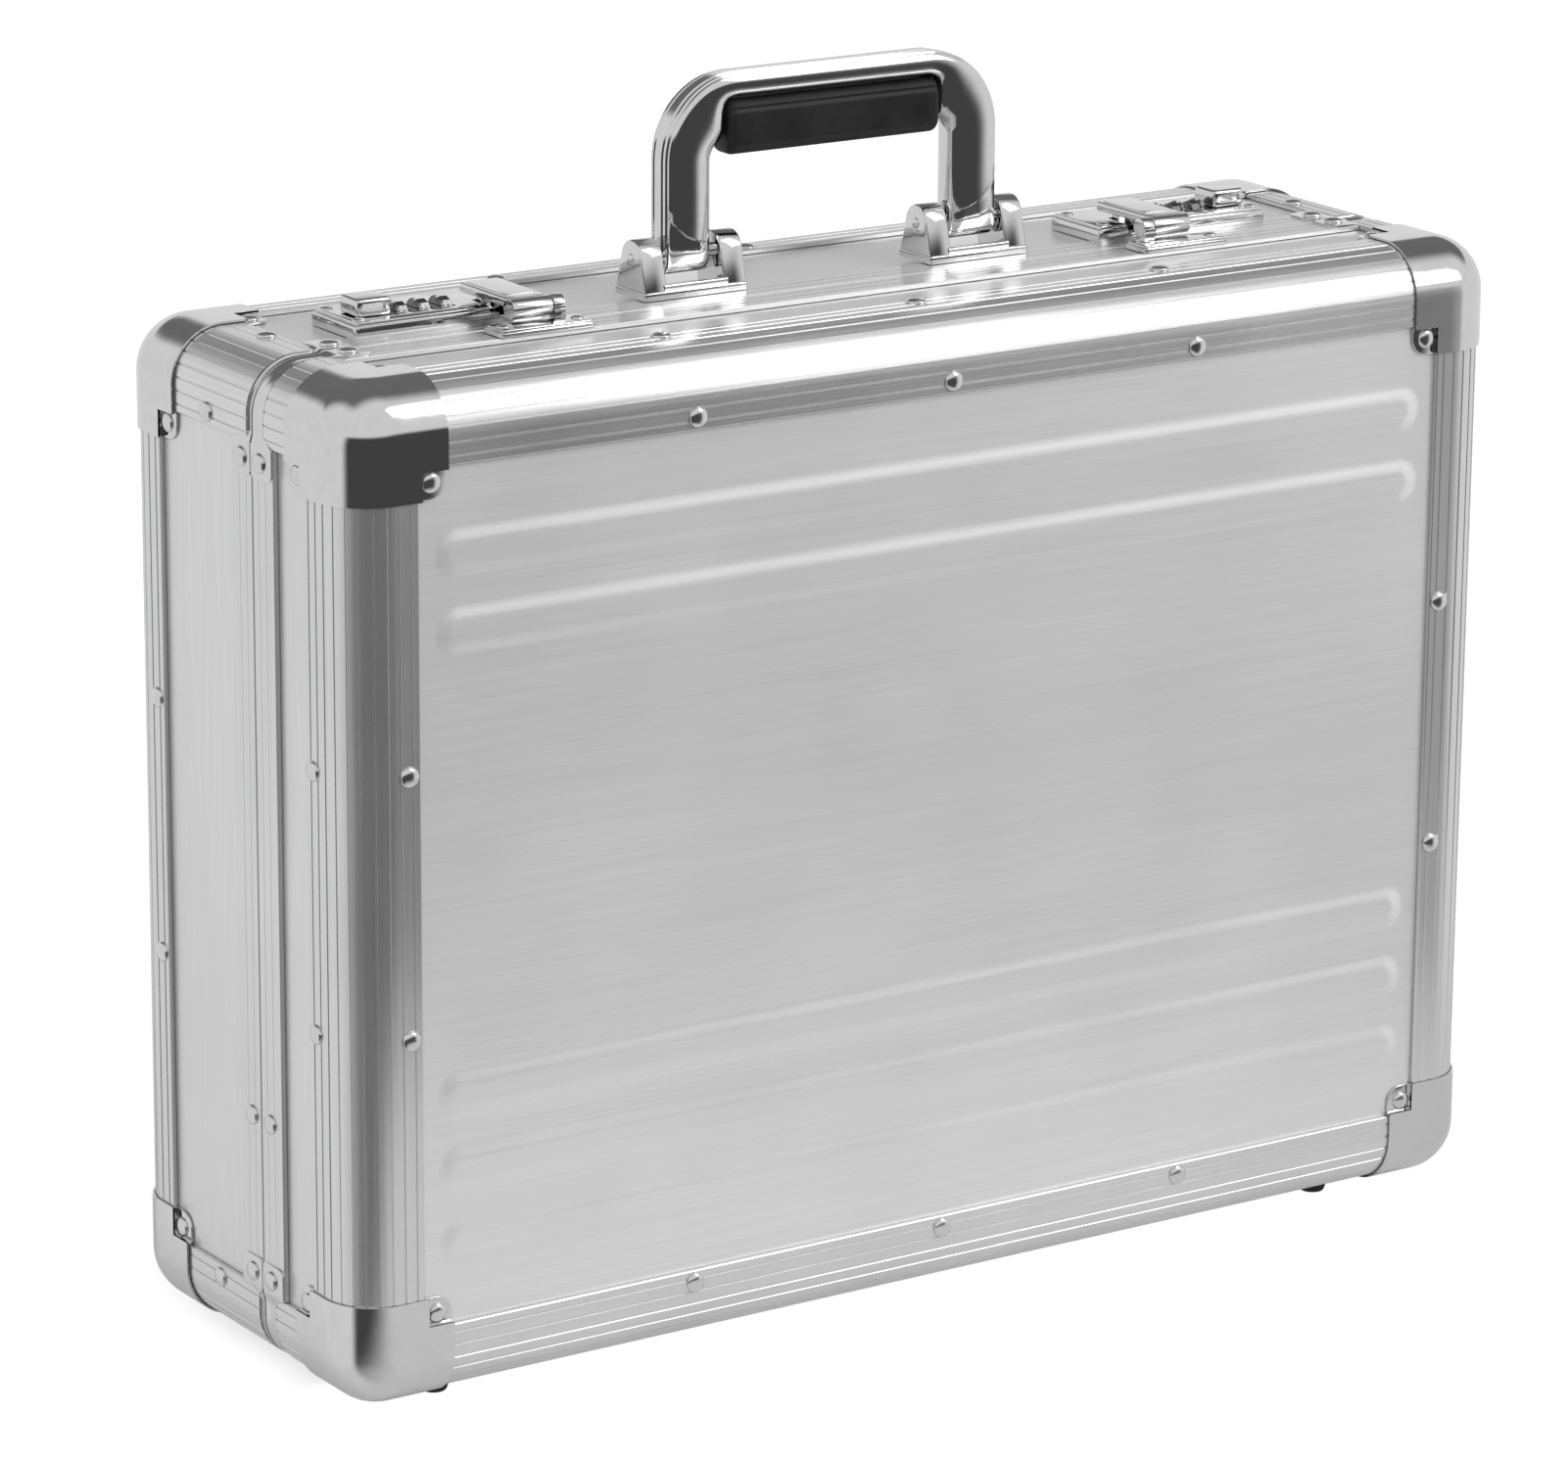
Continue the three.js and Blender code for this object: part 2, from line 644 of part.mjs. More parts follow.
function dial(index) {
  const range = [dialX(index) - dialWidth / 2, dialX(index) + dialWidth / 2];
  const bore = [range[0] - overlap, range[1] + overlap];
  return barX(dialRadius, range, dialY, dialZ, 20)
    .subtract(barX(dialAxleRadius + dialBoreClearance, bore, dialY, dialZ, 10));
}

function lockSlider() {
  const stem = sliderStem / 2;
  const foot = sliderFoot / 2;
  const under = topZ - boardInset;
  const button = block([-sliderOuterX, -sliderOuterX + sliderLength],
    [dialY - sliderWidth / 2, dialY + sliderWidth / 2], [topZ + lockPlateRise + gap, topZ + sliderRise]);
  return button
    .add(block([stemMiddleX - stem, stemMiddleX + stem], [dialY - stem, dialY + stem],
      [under - sliderFootThickness, topZ + sliderRise - overlap]))
    .add(block([stemMiddleX - foot, stemMiddleX + foot], [dialY - foot, dialY + foot],
      [under - sliderFootThickness, under]));
}

function hasp() {
  const x = [-haspOuterX, -haspOuterX + haspWidth];
  const arm = block(x, [barrelY, barrelY + haspReach], [topZ + haspRise - haspThickness, topZ + haspRise]);
  const tongue = block([tongueX - tongueWidth / 2, tongueX + tongueWidth / 2],
    [tongueY - tongueThickness / 2, tongueY + tongueThickness / 2], [topZ + tongueTip, topZ + haspRise - overlap]);
  const bore = barX(barrelPinRadius + barrelClearance, [x[0] - overlap, x[1] + overlap], barrelY, barrelZ, 10);
  return arm.add(barX(barrelRadius, x, barrelY, barrelZ, 14)).subtract(bore).add(tongue);
}

function haspPlate() {
  const knuckle = [-haspOuterX + haspWidth + gap, -haspOuterX + haspWidth + gap + haspKnuckleWidth];
  const rear = barrelY;
  return block([-haspPlateOuterX, -haspPlateInnerX], [rear - haspPlateWidth, rear],
    [topZ + gap, topZ + haspPlateRise])
    .add(block(knuckle, [rear - barrelRadius, rear], [topZ + gap, barrelZ]))
    .add(barX(barrelRadius, knuckle, barrelY, barrelZ, 14))
    .add(barX(barrelPinRadius, [-haspOuterX, knuckle[1] - overlap], barrelY, barrelZ, 10));
}

// ---------------------------------------------------------------- put together

const capGeometry = geometryOf(cornerCap());
for (const shell of shells) {
  add(`${shell.name}_panel`, panel(shell), panelMetal);
  addWalls(shell);
  add(`${shell.name}_edge_frame`, edgeFrame(shell), extrusionMetal);
  for (const [sideX, sideZ, where] of corners) {
    add(`${shell.name}_corner_bar_${where}`, cornerBar(shell, sideX, sideZ), extrusionMetal);
  }
  addCaps(shell, capGeometry);
  add(`${shell.name}_rim`, rim(shell), extrusionMetal);
  add(`${shell.name}_lining`, lining(shell), blackLining);
  add(`${shell.name}_hinge_leaf`, hingeLeaf(shell), panelMetal);
  addFeet(shell);
}

addPair('left_stay_base_arm', 'right_stay_base_arm', stayBaseArm(), chrome);
addPair('left_stay_lid_arm', 'right_stay_lid_arm', stayLidArm(), chrome);
add('handle_frame', handleFrame(), chrome);
add('handle_grip', handleGrip(), blackGrip);
addPair('left_handle_bracket', 'right_handle_bracket', handleBracket(), chrome);
addPair('left_lock_plate', 'right_lock_plate', lockPlate(), chrome);
for (let i = 0; i < dialCount; i++) {
  addPair(`left_lock_dial_${i + 1}`, `right_lock_dial_${i + 1}`, dial(i), dialMetal);
}
addPair('left_lock_slider', 'right_lock_slider', lockSlider(), chrome);
addPair('left_hasp', 'right_hasp', hasp(), chrome);
addPair('left_hasp_plate', 'right_hasp_plate', haspPlate(), chrome);

export default attacheCase;
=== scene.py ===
# Looks of an aluminium attache case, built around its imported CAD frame. Metres, row frame:
# X runs along the width, the lid faces -Y, +Z is up and the case stands on its feet at z = 0.
import json
from functools import partial
from math import asin, copysign, cos, degrees, exp, hypot, pi, radians, sin, sqrt, tan

import bmesh
import bpy
from mathutils import Matrix, Vector


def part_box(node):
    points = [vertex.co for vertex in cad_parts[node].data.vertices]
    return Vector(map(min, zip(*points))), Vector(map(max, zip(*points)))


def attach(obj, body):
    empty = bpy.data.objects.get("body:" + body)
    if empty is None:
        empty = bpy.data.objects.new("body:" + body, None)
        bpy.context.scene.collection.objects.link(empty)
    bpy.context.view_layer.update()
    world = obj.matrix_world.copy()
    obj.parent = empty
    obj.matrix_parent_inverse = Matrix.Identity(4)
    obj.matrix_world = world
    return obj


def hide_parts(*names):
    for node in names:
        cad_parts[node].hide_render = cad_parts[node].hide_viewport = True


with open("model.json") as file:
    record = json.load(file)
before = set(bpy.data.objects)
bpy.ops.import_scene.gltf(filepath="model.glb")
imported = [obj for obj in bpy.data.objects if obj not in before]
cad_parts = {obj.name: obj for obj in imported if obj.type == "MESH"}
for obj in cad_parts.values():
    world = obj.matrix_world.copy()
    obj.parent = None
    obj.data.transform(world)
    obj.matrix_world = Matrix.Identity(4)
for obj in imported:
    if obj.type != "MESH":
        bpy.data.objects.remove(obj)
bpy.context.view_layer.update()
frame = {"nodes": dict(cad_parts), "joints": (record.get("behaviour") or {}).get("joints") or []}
scene = bpy.context.scene
MM = 0.001


def mm(*values):
    return tuple(value * MM for value in values)


def configure(thing, **settings):
    for key, value in settings.items():
        setattr(thing, key, value)
    return thing


def add_object(name, data):
    made = bpy.data.objects.new(name, data)
    scene.collection.objects.link(made)
    return made


# ---- places, read from the frame

joints = {joint["name"]: Vector(joint["pos_m"]) for joint in frame["joints"] if "pos_m" in joint}
lid_low, lid_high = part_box("lid_edge_frame")
HALF_WIDTH = lid_high.x
BOTTOM, TOP = lid_low.z, lid_high.z
MIDDLE_Z = (BOTTOM + TOP) / 2
HALF_HEIGHT = (TOP - BOTTOM) / 2
PARTING = joints["lid_hinge"].y

# ---- measures, as in the CAD source

GAP = 0.3 * MM
EDGE_RADIUS = 18 * MM
EDGE_FLANGE = 26.5 * MM
WALL = 1.5 * MM
BOARD_INSET = WALL + GAP
BOARD = 4 * MM
RIM_WIDTH, RIM_DEPTH, RIM_WEB = mm(13.8, 8, 3.99)
RIM_INNER_FLANGE, RIM_CORNER_FACE = mm(12.5, 1.3)
LIP_NEAR, LIP_FAR, LIP_REACH = mm(8.4, 9.6, 3)
LINING_INSET, LINING = mm(6.6, 1)
CAP_REACH, CAP_SHEET, CAP_TAB_RADIUS = mm(37, 0.7, 6)
CAP_PROUD = GAP + CAP_SHEET
CLIP_PROUD = 0.7 * CAP_PROUD
CLIP_SHEET = 0.75 * MM
BAND_HEIGHT, BAND_HALF_LENGTH, BAND_PITCH = mm(17.8, 197.5, 25.5)
BAND_PROUD, BAND_SLOPE = mm(0.8, 6)
LOW_BAND, HIGH_BAND = mm(53.2, 55.6)
GROOVES = 10
GROOVE_PITCH, GROOVE_WIDTH, GROOVE_DEPTH = mm(4.4, 0.7, 0.3)
RIVET_RADIUS, RIVET_RISE = mm(3.4, 1.5)
RIVET_INSET, CAP_RIVET_INSET, CLIP_RIVET_INSET = mm(22.3, 31.3, 32)
CLIP_RIVET_DEPTH, BAR_RIVET_DEPTH = mm(6.05, 29.6)
LEVEL_RIVETS = mm(-99.7, 0, 99.7)
UPRIGHT_RIVETS = mm(-44, 44)


class Shell:
    """One half of the case. side is -1 for the lid and 1 for the base."""

    def __init__(self, name, side, outer, corner_end):
        self.name = name
        self.side = side
        self.outer = outer
        self.corner_end = corner_end        # parting line to the corner bars

    def inward(self, distance):
        """Y of a point that lies a distance inwards from the shell's outer face."""
        return self.outer - self.side * distance

    def away(self, distance):
        """Y of a point that lies a distance into the shell from the parting line."""
        return PARTING + self.side * distance

    def add(self, name, mesh, material, slot, *replaced):
        """A piece that rides on this shell and stands for some of its CAD nodes."""
        add_piece(f"{self.name}_{name}", mesh, material, self.name,
                  [f"{self.name}_{node}" for node in replaced])

    def add_extrusion(self, name, mesh, replaced):
        self.add(name, mesh, EXTRUSION, "extrusion_aluminium", replaced)


LID = Shell("lid", -1, lid_low.y, 7.5 * MM)
BASE = Shell("base", 1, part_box("base_edge_frame")[1].y, 3.2 * MM)
CORNERS = [(1, 1, "top_right"), (-1, 1, "top_left"), (-1, -1, "bottom_left"), (1, -1, "bottom_right")]
SIDES = {-1: "left", 1: "right"}

# ---- materials


class Nodes:
    """Adds and links the nodes of a tree."""

    def __init__(self, tree):
        self.tree = tree

    def feed(self, node, inputs):
        """Gives each socket its value, or a link where the value is another node's output."""
        for key, value in dict(inputs).items():
            if isinstance(value, bpy.types.NodeSocket):
                self.tree.links.new(value, node.inputs[key])
            else:
                node.inputs[key].default_value = value

    def add(self, kind, inputs=(), output=0, **settings):
        """A new node with its inputs and settings, as one of its outputs."""
        node = configure(self.tree.nodes.new("ShaderNode" + kind), **settings)
        self.feed(node, inputs)
        return node.outputs[output]

    def math(self, operation, *values):
        return self.add("Math", enumerate(values), operation=operation)

    def ramp(self, value, low, high, from_low=0.0, from_high=1.0, kind="LINEAR"):
        inputs = {"Value": value, "From Min": from_low, "From Max": from_high, "To Min": low, "To Max": high}
        return self.add("MapRange", inputs, interpolation_type=kind)

    def ease(self, value, *levels):
        return self.ramp(value, *levels, kind="SMOOTHSTEP")

    def noise(self, vector, scale, detail=3.0, stretch=None):
        if stretch is not None:
            vector = self.add("Mapping", {"Vector": vector, "Scale": stretch})
        return self.add("TexNoise", {"Vector": vector, "Scale": scale, "Detail": detail}, "Fac")

    def cells(self, vector, scale, **settings):
        return self.add("TexVoronoi", {"Vector": vector, "Scale": scale}, "Distance", **settings)

    def tint(self, value, dark, light):
        colour = self.add("ValToRGB", {"Fac": value}, "Color")
        for element, position, tone in zip(colour.node.color_ramp.elements, (0.3, 0.7), (dark, light)):
            configure(element, position=position, color=(*tone, 1))
        return colour


class Surface(Nodes):
    """A new material, with its shader and its coordinates."""

    def __init__(self, name, metallic=0.0):
        self.material = bpy.data.materials.new(name)
        self.material.use_nodes = True
        super().__init__(self.material.node_tree)
        self.shader = self.tree.nodes["Principled BSDF"]
        self.coordinates = self.add("TexCoord").node.outputs
        self.place = self.coordinates["Object"]
        self.feed(self.shader, {"Metallic": metallic})

    def finish(self, tone, dark, light, rough, height, strength, distance):
        """Colour and roughness that follow one pattern, and a bump that follows another."""
        bump = self.add("Bump", {"Height": height, "Strength": strength, "Distance": distance * MM})
        self.feed(self.shader, {"Base Color": self.tint(tone, dark, light), "Normal": bump,
                                "Roughness": self.ramp(tone, *rough)})
        return self.material


def grey(value, blue=0.0):
    return value, value, value + blue


def brushed_metal(name, space, stretch, tones, rough, metallic, spread):
    """Aluminium with a fine grain along one direction of its UV or object coordinates.
    Its reflections spread across the grain."""
    look = Surface(name, metallic)
    streaks = look.noise(look.coordinates[space], 1.0, 4.0, stretch)
    clouds = look.noise(look.place, 14.0, 2.0)
    mixed = look.math("ADD", look.math("MULTIPLY", streaks, 0.6), look.math("MULTIPLY", clouds, 0.4))
    if space == "UV":
        tangent = look.add("Tangent", direction_type="UV_MAP")
    else:
        tangent = look.add("CombineXYZ", {"X": 1.0})
    look.feed(look.shader, {"Tangent": tangent, "Anisotropic": spread, "Anisotropic Rotation": 0.25})
    return look.finish(mixed, *[grey(tone, 0.005) for tone in tones], (rough - 0.05, rough + 0.07),
                          streaks, 0.12, 0.05)


def polished_chrome(name, rough, wave, shade=1.0):
    """Bright plated metal: slightly uneven, with faint haze."""
    look = Surface(name, 1.0)
    haze = look.noise(look.place, 220.0, 4.0)
    swell = look.noise(look.place, 75.0, 1.5)
    return look.finish(haze, grey(0.66 * shade), grey(0.70 * shade), (rough * 0.6, rough * 1.6),
                          swell, wave, 1.0)


def black_leather():
    look = Surface("black_leather")
    grain = look.math("MINIMUM", look.cells(look.place, 1400.0, feature="DISTANCE_TO_EDGE"), 0.22)
    fine = look.noise(look.place, 2600.0, 3.0)
    height = look.math("ADD", grain, look.math("MULTIPLY", fine, 0.12))
    look.feed(look.shader, {"Specular IOR Level": 0.3})
    broad = look.noise(look.place, 90.0, 2.0)
    return look.finish(broad, grey(0.006, 0.001), grey(0.014, 0.001), (0.38, 0.52), height, 0.55, 0.18)


def black_rubber():
    look = Surface("black_rubber")
    dust = look.noise(look.place, 500.0, 4.0)
    return look.finish(dust, grey(0.010), grey(0.022), (0.55, 0.75), dust, 0.3, 0.1)


def lining_cloth():
    """Short black nap over a fine weave."""
    look = Surface("lining_cloth")
    look.feed(look.shader, {"Sheen Weight": 0.35, "Sheen Roughness": 0.45})
    weave = look.cells(look.place, 900.0)
    patches = look.noise(look.place, 30.0, 3.0)
    return look.finish(patches, grey(0.016, 0.002), grey(0.030, 0.004), (0.85, 0.98), weave, 0.5, 0.3)


def digit_paint():
    look = Surface("digit_paint")
    wear = look.noise(look.place, 1500.0, 3.0)
    colour = look.tint(wear, grey(0.010), grey(0.03))
    look.feed(look.shader, {"Base Color": colour, "Roughness": 0.45})
    return look.material


PANEL = brushed_metal("panel_brushed", "Object", (14, 700, 1500), (0.76, 0.84), 0.36, 0.6, 0.5)
BOARD_METAL = brushed_metal("board_brushed", "Object", (500, 500, 20), (0.70, 0.77), 0.34, 0.65, 0.0)
EXTRUSION = brushed_metal("extrusion_satin", "UV", (12, 1800, 1), (0.66, 0.78), 0.24, 0.86, 0.8)
CHROME = polished_chrome("chrome_polished", 0.06, 0.05)
CAP_CHROME = polished_chrome("chrome_pressed", 0.07, 0.015)
RIVET_STEEL = polished_chrome("rivet_plated", 0.16, 0.03)
DIAL_METAL = polished_chrome("dial_plated", 0.2, 0.02, 0.28)
LEATHER = black_leather()
RUBBER = black_rubber()
CLOTH = lining_cloth()
DIGITS = digit_paint()

# ---- mesh helpers


def new_object(name, mesh):
    """A new object in the scene, made of a bmesh, which is freed."""
    data = bpy.data.meshes.new(name)
    mesh.to_mesh(data)
    mesh.free()
    return add_object(name, data)


def tidy(mesh):
    bmesh.ops.remove_doubles(mesh, verts=mesh.verts, dist=1e-7)
    bmesh.ops.recalc_face_normals(mesh, faces=mesh.faces)
    return mesh


def add_piece(name, mesh, material, body, replaced=()):
    """A piece of the object, smooth but for its hard edges, riding on a CAD body."""
    tidy(mesh)
    for face in mesh.faces:
        face.smooth = True
    piece = new_object(name, mesh)
    piece.data.set_sharp_from_angle(angle=radians(33))
    piece.data.materials.append(material)
    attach(piece, body)
    if replaced:
        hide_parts(*replaced)


def add_sided(side, name, mesh, body, node, material=CHROME):
    """A piece built for +X, flipped over for -X, in place of that side's CAD node."""
    if side < 0:
        bmesh.ops.scale(mesh, vec=(-1, 1, 1), verts=mesh.verts)
    add_piece(f"{SIDES[side]}_{name}", mesh, material, body, [f"{SIDES[side]}_{node}"])


def loft(rings, closed=False, seam_open=False, into=None):
    """Skins a list of outlines with as many points each, with UVs in metres along and around.
    The ends are filled unless the rings run in a closed loop. seam_open leaves out the strip
    between each outline's last and first point."""
    mesh = into or bmesh.new()
    uv = mesh.loops.layers.uv.verify()
    count = len(rings[0])
    rows = [[mesh.verts.new(point) for point in ring] for ring in rings]
    around = [0.0]
    for i in range(count):
        around.append(around[-1] + (rings[0][(i + 1) % count] - rings[0][i]).length)
    along = [0.0]
    for i in range(len(rings)):
        step = max((a - b).length for a, b in zip(rings[i], rings[(i + 1) % len(rings)]))
        along.append(along[-1] + step)
    for i in range(len(rings) if closed else len(rings) - 1):
        after = (i + 1) % len(rings)
        for j in range(count - 1 if seam_open else count):
            k = (j + 1) % count
            face = mesh.faces.new((rows[i][j], rows[i][k], rows[after][k], rows[after][j]))
            places = ((i, j), (i, j + 1), (i + 1, j + 1), (i + 1, j))
            for loop, (s, t) in zip(face.loops, places):
                loop[uv].uv = (along[s], around[t])
    if not closed:
        mesh.faces.new(rows[0])
        mesh.faces.new(reversed(rows[-1]))
    return mesh


def arc(centre, radius, start, end, steps):
    """Points on an arc, angles in degrees, both ends included."""
    points = []
    for i in range(steps + 1):
        angle = radians(start + (end - start) * i / steps)
        points.append((centre[0] + radius * cos(angle), centre[1] + radius * sin(angle)))
    return points


def circle(centre, radius, sides):
    return arc(centre, radius, 0, 360 * (sides - 1) / sides, sides - 1)


def round_rect(u, v, radius, steps=5):
    """A rectangle between two values on each axis, with round corners."""
    u0, u1 = sorted(u)
    v0, v1 = sorted(v)
    points = []
    for i, (centre_u, centre_v) in enumerate(((u1 - radius, v0 + radius), (u1 - radius, v1 - radius),
                                              (u0 + radius, v1 - radius), (u0 + radius, v0 + radius))):
        points += arc((centre_u, centre_v), radius, 90 * i - 90, 90 * i, steps)
    return points


def shrink(points, distance):
    """The outline, given anticlockwise, moved inwards by a distance."""
    moved = []
    for i, point in enumerate(points):
        before = Vector(point) - Vector(points[i - 1])
        after = Vector(points[(i + 1) % len(points)]) - Vector(point)
        normals = [Vector((-d.y, d.x)).normalized() for d in (before, after)]
        middle = (normals[0] + normals[1]).normalized()
        stretch = 1 / max(0.35, middle.dot(normals[0]))
        moved.append(tuple(Vector(point) + middle * distance * stretch))
    return moved


PLANES = {
    "X": lambda u, v, w: Vector((w, u, v)),     # outline in YZ, pushed along X
    "Y": lambda u, v, w: Vector((u, w, v)),     # outline in XZ, pushed along Y
    "Z": lambda u, v, w: Vector((u, v, w)),     # outline in XY, pushed along Z
}


def level(outline, axis, w):
    """The outline as points, at a place along an axis."""
    return [PLANES[axis](u, v, w) for u, v in outline]


def slab(outline, axis, span, rounds=(0, 0), into=None):
    """An outline pushed along an axis, with its two rims rounded by their own radii in mm."""
    steps = 3
    low, high = sorted(span)
    levels = []
    for end, inwards, radius in ((low, 1, rounds[0] * MM), (high, -1, rounds[1] * MM)):
        angles = [pi / 2 * i / steps for i in range(steps + 1)] if radius else [pi / 2]
        for angle in angles[::inwards]:
            levels.append((radius * (1 - sin(angle)), end + inwards * radius * (1 - cos(angle))))
    return loft([level(shrink(outline, inset), axis, w) for inset, w in levels], into=into)


def block(u, v, corner, axis, span, rounds=(0, 0), into=None, steps=5):
    """A slab with a round-cornered rectangle for its outline. Radii in mm."""
    return slab(round_rect(u, v, corner * MM, steps), axis, span, rounds, into)


def within(low, high, first, second=None):
    """The span between two values, moved inwards by distances in mm."""
    return low + first * MM, high - (first if second is None else second) * MM


def about(middle, reach):
    """The span that reaches a distance in mm to both sides of a value."""
    return within(middle, middle, -reach)


def dome(centre, normal, radius, rise, into):
    """A rivet's domed head on a face, with a short straight edge below it."""
    steps = 5
    turn = Vector((0, 0, 1)).rotation_difference(Vector(normal)).to_matrix()
    edge = rise * 0.22
    levels = [(radius, -GAP), (radius, edge)]
    for i in range(1, steps):
        angle = pi / 2 * i / steps
        levels.append((radius * cos(angle), edge + (rise - edge) * sin(angle)))
    levels.append((radius * 0.08, rise))
    rings = [level(circle((0, 0), size, 20), "Z", height) for size, height in levels]
    return loft([[Vector(centre) + turn @ point for point in ring] for ring in rings], into=into)


def cut_away(mesh, cutters):
    """The mesh with each cutter's space removed."""
    body, *tools = [new_object("cutting", tidy(part)) for part in (mesh, *cutters)]
    for tool in tools:
        configure(body.modifiers.new("cut", "BOOLEAN"), operation="DIFFERENCE", solver="EXACT", object=tool)
    evaluated = body.evaluated_get(bpy.context.evaluated_depsgraph_get())
    result = bmesh.new()
    result.from_mesh(evaluated.to_mesh())
    evaluated.to_mesh_clear()
    for made in (body, *tools):
        data = made.data
        bpy.data.objects.remove(made)
        bpy.data.meshes.remove(data)
    return result


def ease(value):
    """A smooth step from 0 to 1."""
    value = min(max(value, 0), 1)
    return value * value * (3 - 2 * value)


# ---- the case's outline and its profiles


def near_corner(side_x, side_z, a, b=None):
    """X and Z of a point at one or two distances inside the case's faces."""
    b = a if b is None else b
    return side_x * (HALF_WIDTH - a), MIDDLE_Z + side_z * (HALF_HEIGHT - b)


def corner_point(side_x, side_z, angle, distance):
    """A point of the outline, a distance inside the case, at an angle round one of its corners."""
    radius = max(EDGE_RADIUS - distance, 0)
    centre = max(EDGE_RADIUS, distance)
    x, z = near_corner(side_x, side_z, centre)
    return x + radius * cos(angle), z + radius * sin(angle)


def side_point(side_x, side_z, inset, upright, distance):
    """A point of the outline on the upright or level side next to a corner."""
    inset = max(inset, distance)
    return near_corner(side_x, side_z, *((distance, inset) if upright else (inset, distance)))


def corner_stations(index, insets, steps):
    """Stations round a corner: each is (distance from the corner, a function of the distance inside)."""
    side_x, side_z, _ = CORNERS[index]
    upright = side_x * side_z > 0
    stations = [(inset, partial(side_point, side_x, side_z, inset, upright)) for inset in insets]
    for i in range(steps + 1):
        angle = radians(90 * (index + i / steps))
        stations.append((EDGE_RADIUS, partial(corner_point, side_x, side_z, angle)))
    for inset in reversed(insets):
        stations.append((inset, partial(side_point, side_x, side_z, inset, not upright)))
    return stations


def outline_stations(steps, insets=()):
    """Stations round the case: each is (is it in a corner, a function of the distance inside).
    Where a corner ends at an inset, it has one station of each kind."""
    stations = []
    for index in range(len(CORNERS)):
        corner = [(True, place) for _, place in corner_stations(index, insets, steps)]
        if insets:
            corner = [(False, corner[0][1]), *corner, (False, corner[-1][1])]
        stations += corner
    return stations


def around_case(profile, stations, depth_to_y):
    """Sweeps a section of (distance inside the outline, distance along Y) through the stations."""
    rings = []
    for kind, place in stations:
        ring = []
        for distance, along in profile(kind):
            x, z = place(distance)
            ring.append(Vector((x, depth_to_y(along), z)))
        rings.append(ring)
    return rings


def grooved_path():
    """Outer side of an extrusion, in distances from its two faces, with its fine grooves."""
    flange = EDGE_FLANGE - EDGE_RADIUS
    quarter = EDGE_RADIUS * pi / 2
    total = 2 * flange + quarter
    edge, edge_sunk = 0.3 * MM, 0.25 * MM

    def place(s, sunk):
        if s < flange:
            return sunk, EDGE_FLANGE - s
        if s > flange + quarter:
            return EDGE_RADIUS + s - flange - quarter, sunk
        angle = (s - flange) / EDGE_RADIUS
        radius = EDGE_RADIUS - sunk
        return EDGE_RADIUS - radius * cos(angle), EDGE_RADIUS - radius * sin(angle)

    stops = [(0.0, edge_sunk), (edge, 0.0)]
    for i in range(GROOVES):
        s = total / 2 + (i - (GROOVES - 1) / 2) * GROOVE_PITCH
        stops += [(s - GROOVE_WIDTH / 2, 0.0), (s - GROOVE_WIDTH / 6, GROOVE_DEPTH)]
        stops += [(s + GROOVE_WIDTH / 6, GROOVE_DEPTH), (s + GROOVE_WIDTH / 2, 0.0)]
        for share in (0.35, 0.5, 0.65):
            middle = s + GROOVE_PITCH * share
            if middle < total - GROOVE_WIDTH:
                stops.append((middle, 0.0))
    stops += [(total - edge, 0.0), (total, edge_sunk)]
    return [place(s, sunk) for s, sunk in stops]


def extrusion_profile():
    """A whole section of an edge extrusion, as distances from its two outer faces."""
    inner = arc((EDGE_RADIUS, EDGE_RADIUS), EDGE_RADIUS - WALL, 270, 180, 10)
    return grooved_path() + [(EDGE_FLANGE, WALL)] + inner + [(WALL, EDGE_FLANGE)]


# ---- shells: panels, extrusions, rims, lining


def pressed_panel(shell):
    """The large board with its five pressed bands."""
    half_x = HALF_WIDTH - EDGE_RADIUS
    low_z, high_z = BOTTOM + EDGE_RADIUS, TOP - EDGE_RADIUS
    bands = [BOTTOM + LOW_BAND + i * BAND_PITCH for i in range(3)]
    bands += [TOP - HIGH_BAND - i * BAND_PITCH for i in range(2)]
    radius = BAND_HEIGHT / 2

    def rise(x, z):
        u = max(abs(x) - (BAND_HALF_LENGTH - radius), 0)
        inside = max(radius - hypot(u, z - band) for band in bands)
        return ease(inside / BAND_SLOPE) * BAND_PROUD

    ends = [BAND_HALF_LENGTH - radius * 1.15 + radius * 1.2 * i / 26 for i in range(27)]
    columns = sorted({-half_x, half_x, *ends, *[-x for x in ends], *[i * 30 * MM for i in range(-6, 7)]})
    rows = {low_z, high_z, MIDDLE_Z}
    for band in bands:
        rows.update(band + radius * i / 10 for i in range(-10, 11))
        for side in (-1, 1):
            rows.update(band + side * (radius - BAND_SLOPE * i / 8) for i in range(9))
    mesh = bmesh.new()
    grid = []
    for z in sorted(rows):
        grid.append([mesh.verts.new((x, shell.inward(BOARD_INSET - rise(x, z)), z)) for x in columns])
    for lower, upper in zip(grid, grid[1:]):
        for j in range(len(columns) - 1):
            mesh.faces.new((lower[j], lower[j + 1], upper[j + 1], upper[j]))
    back = [mesh.verts.new((x, shell.inward(BOARD_INSET + BOARD), z))
            for x, z in ((-half_x, low_z), (half_x, low_z), (half_x, high_z), (-half_x, high_z))]
    mesh.faces.new(back)
    edges = (grid[0], [row[-1] for row in grid], grid[-1][::-1], [row[0] for row in reversed(grid)])
    for i, edge in enumerate(edges):
        mesh.faces.new([*edge, back[(i + 1) % 4], back[i]])
    shell.add("pressed_panel", mesh, PANEL, "panel_aluminium", "panel")


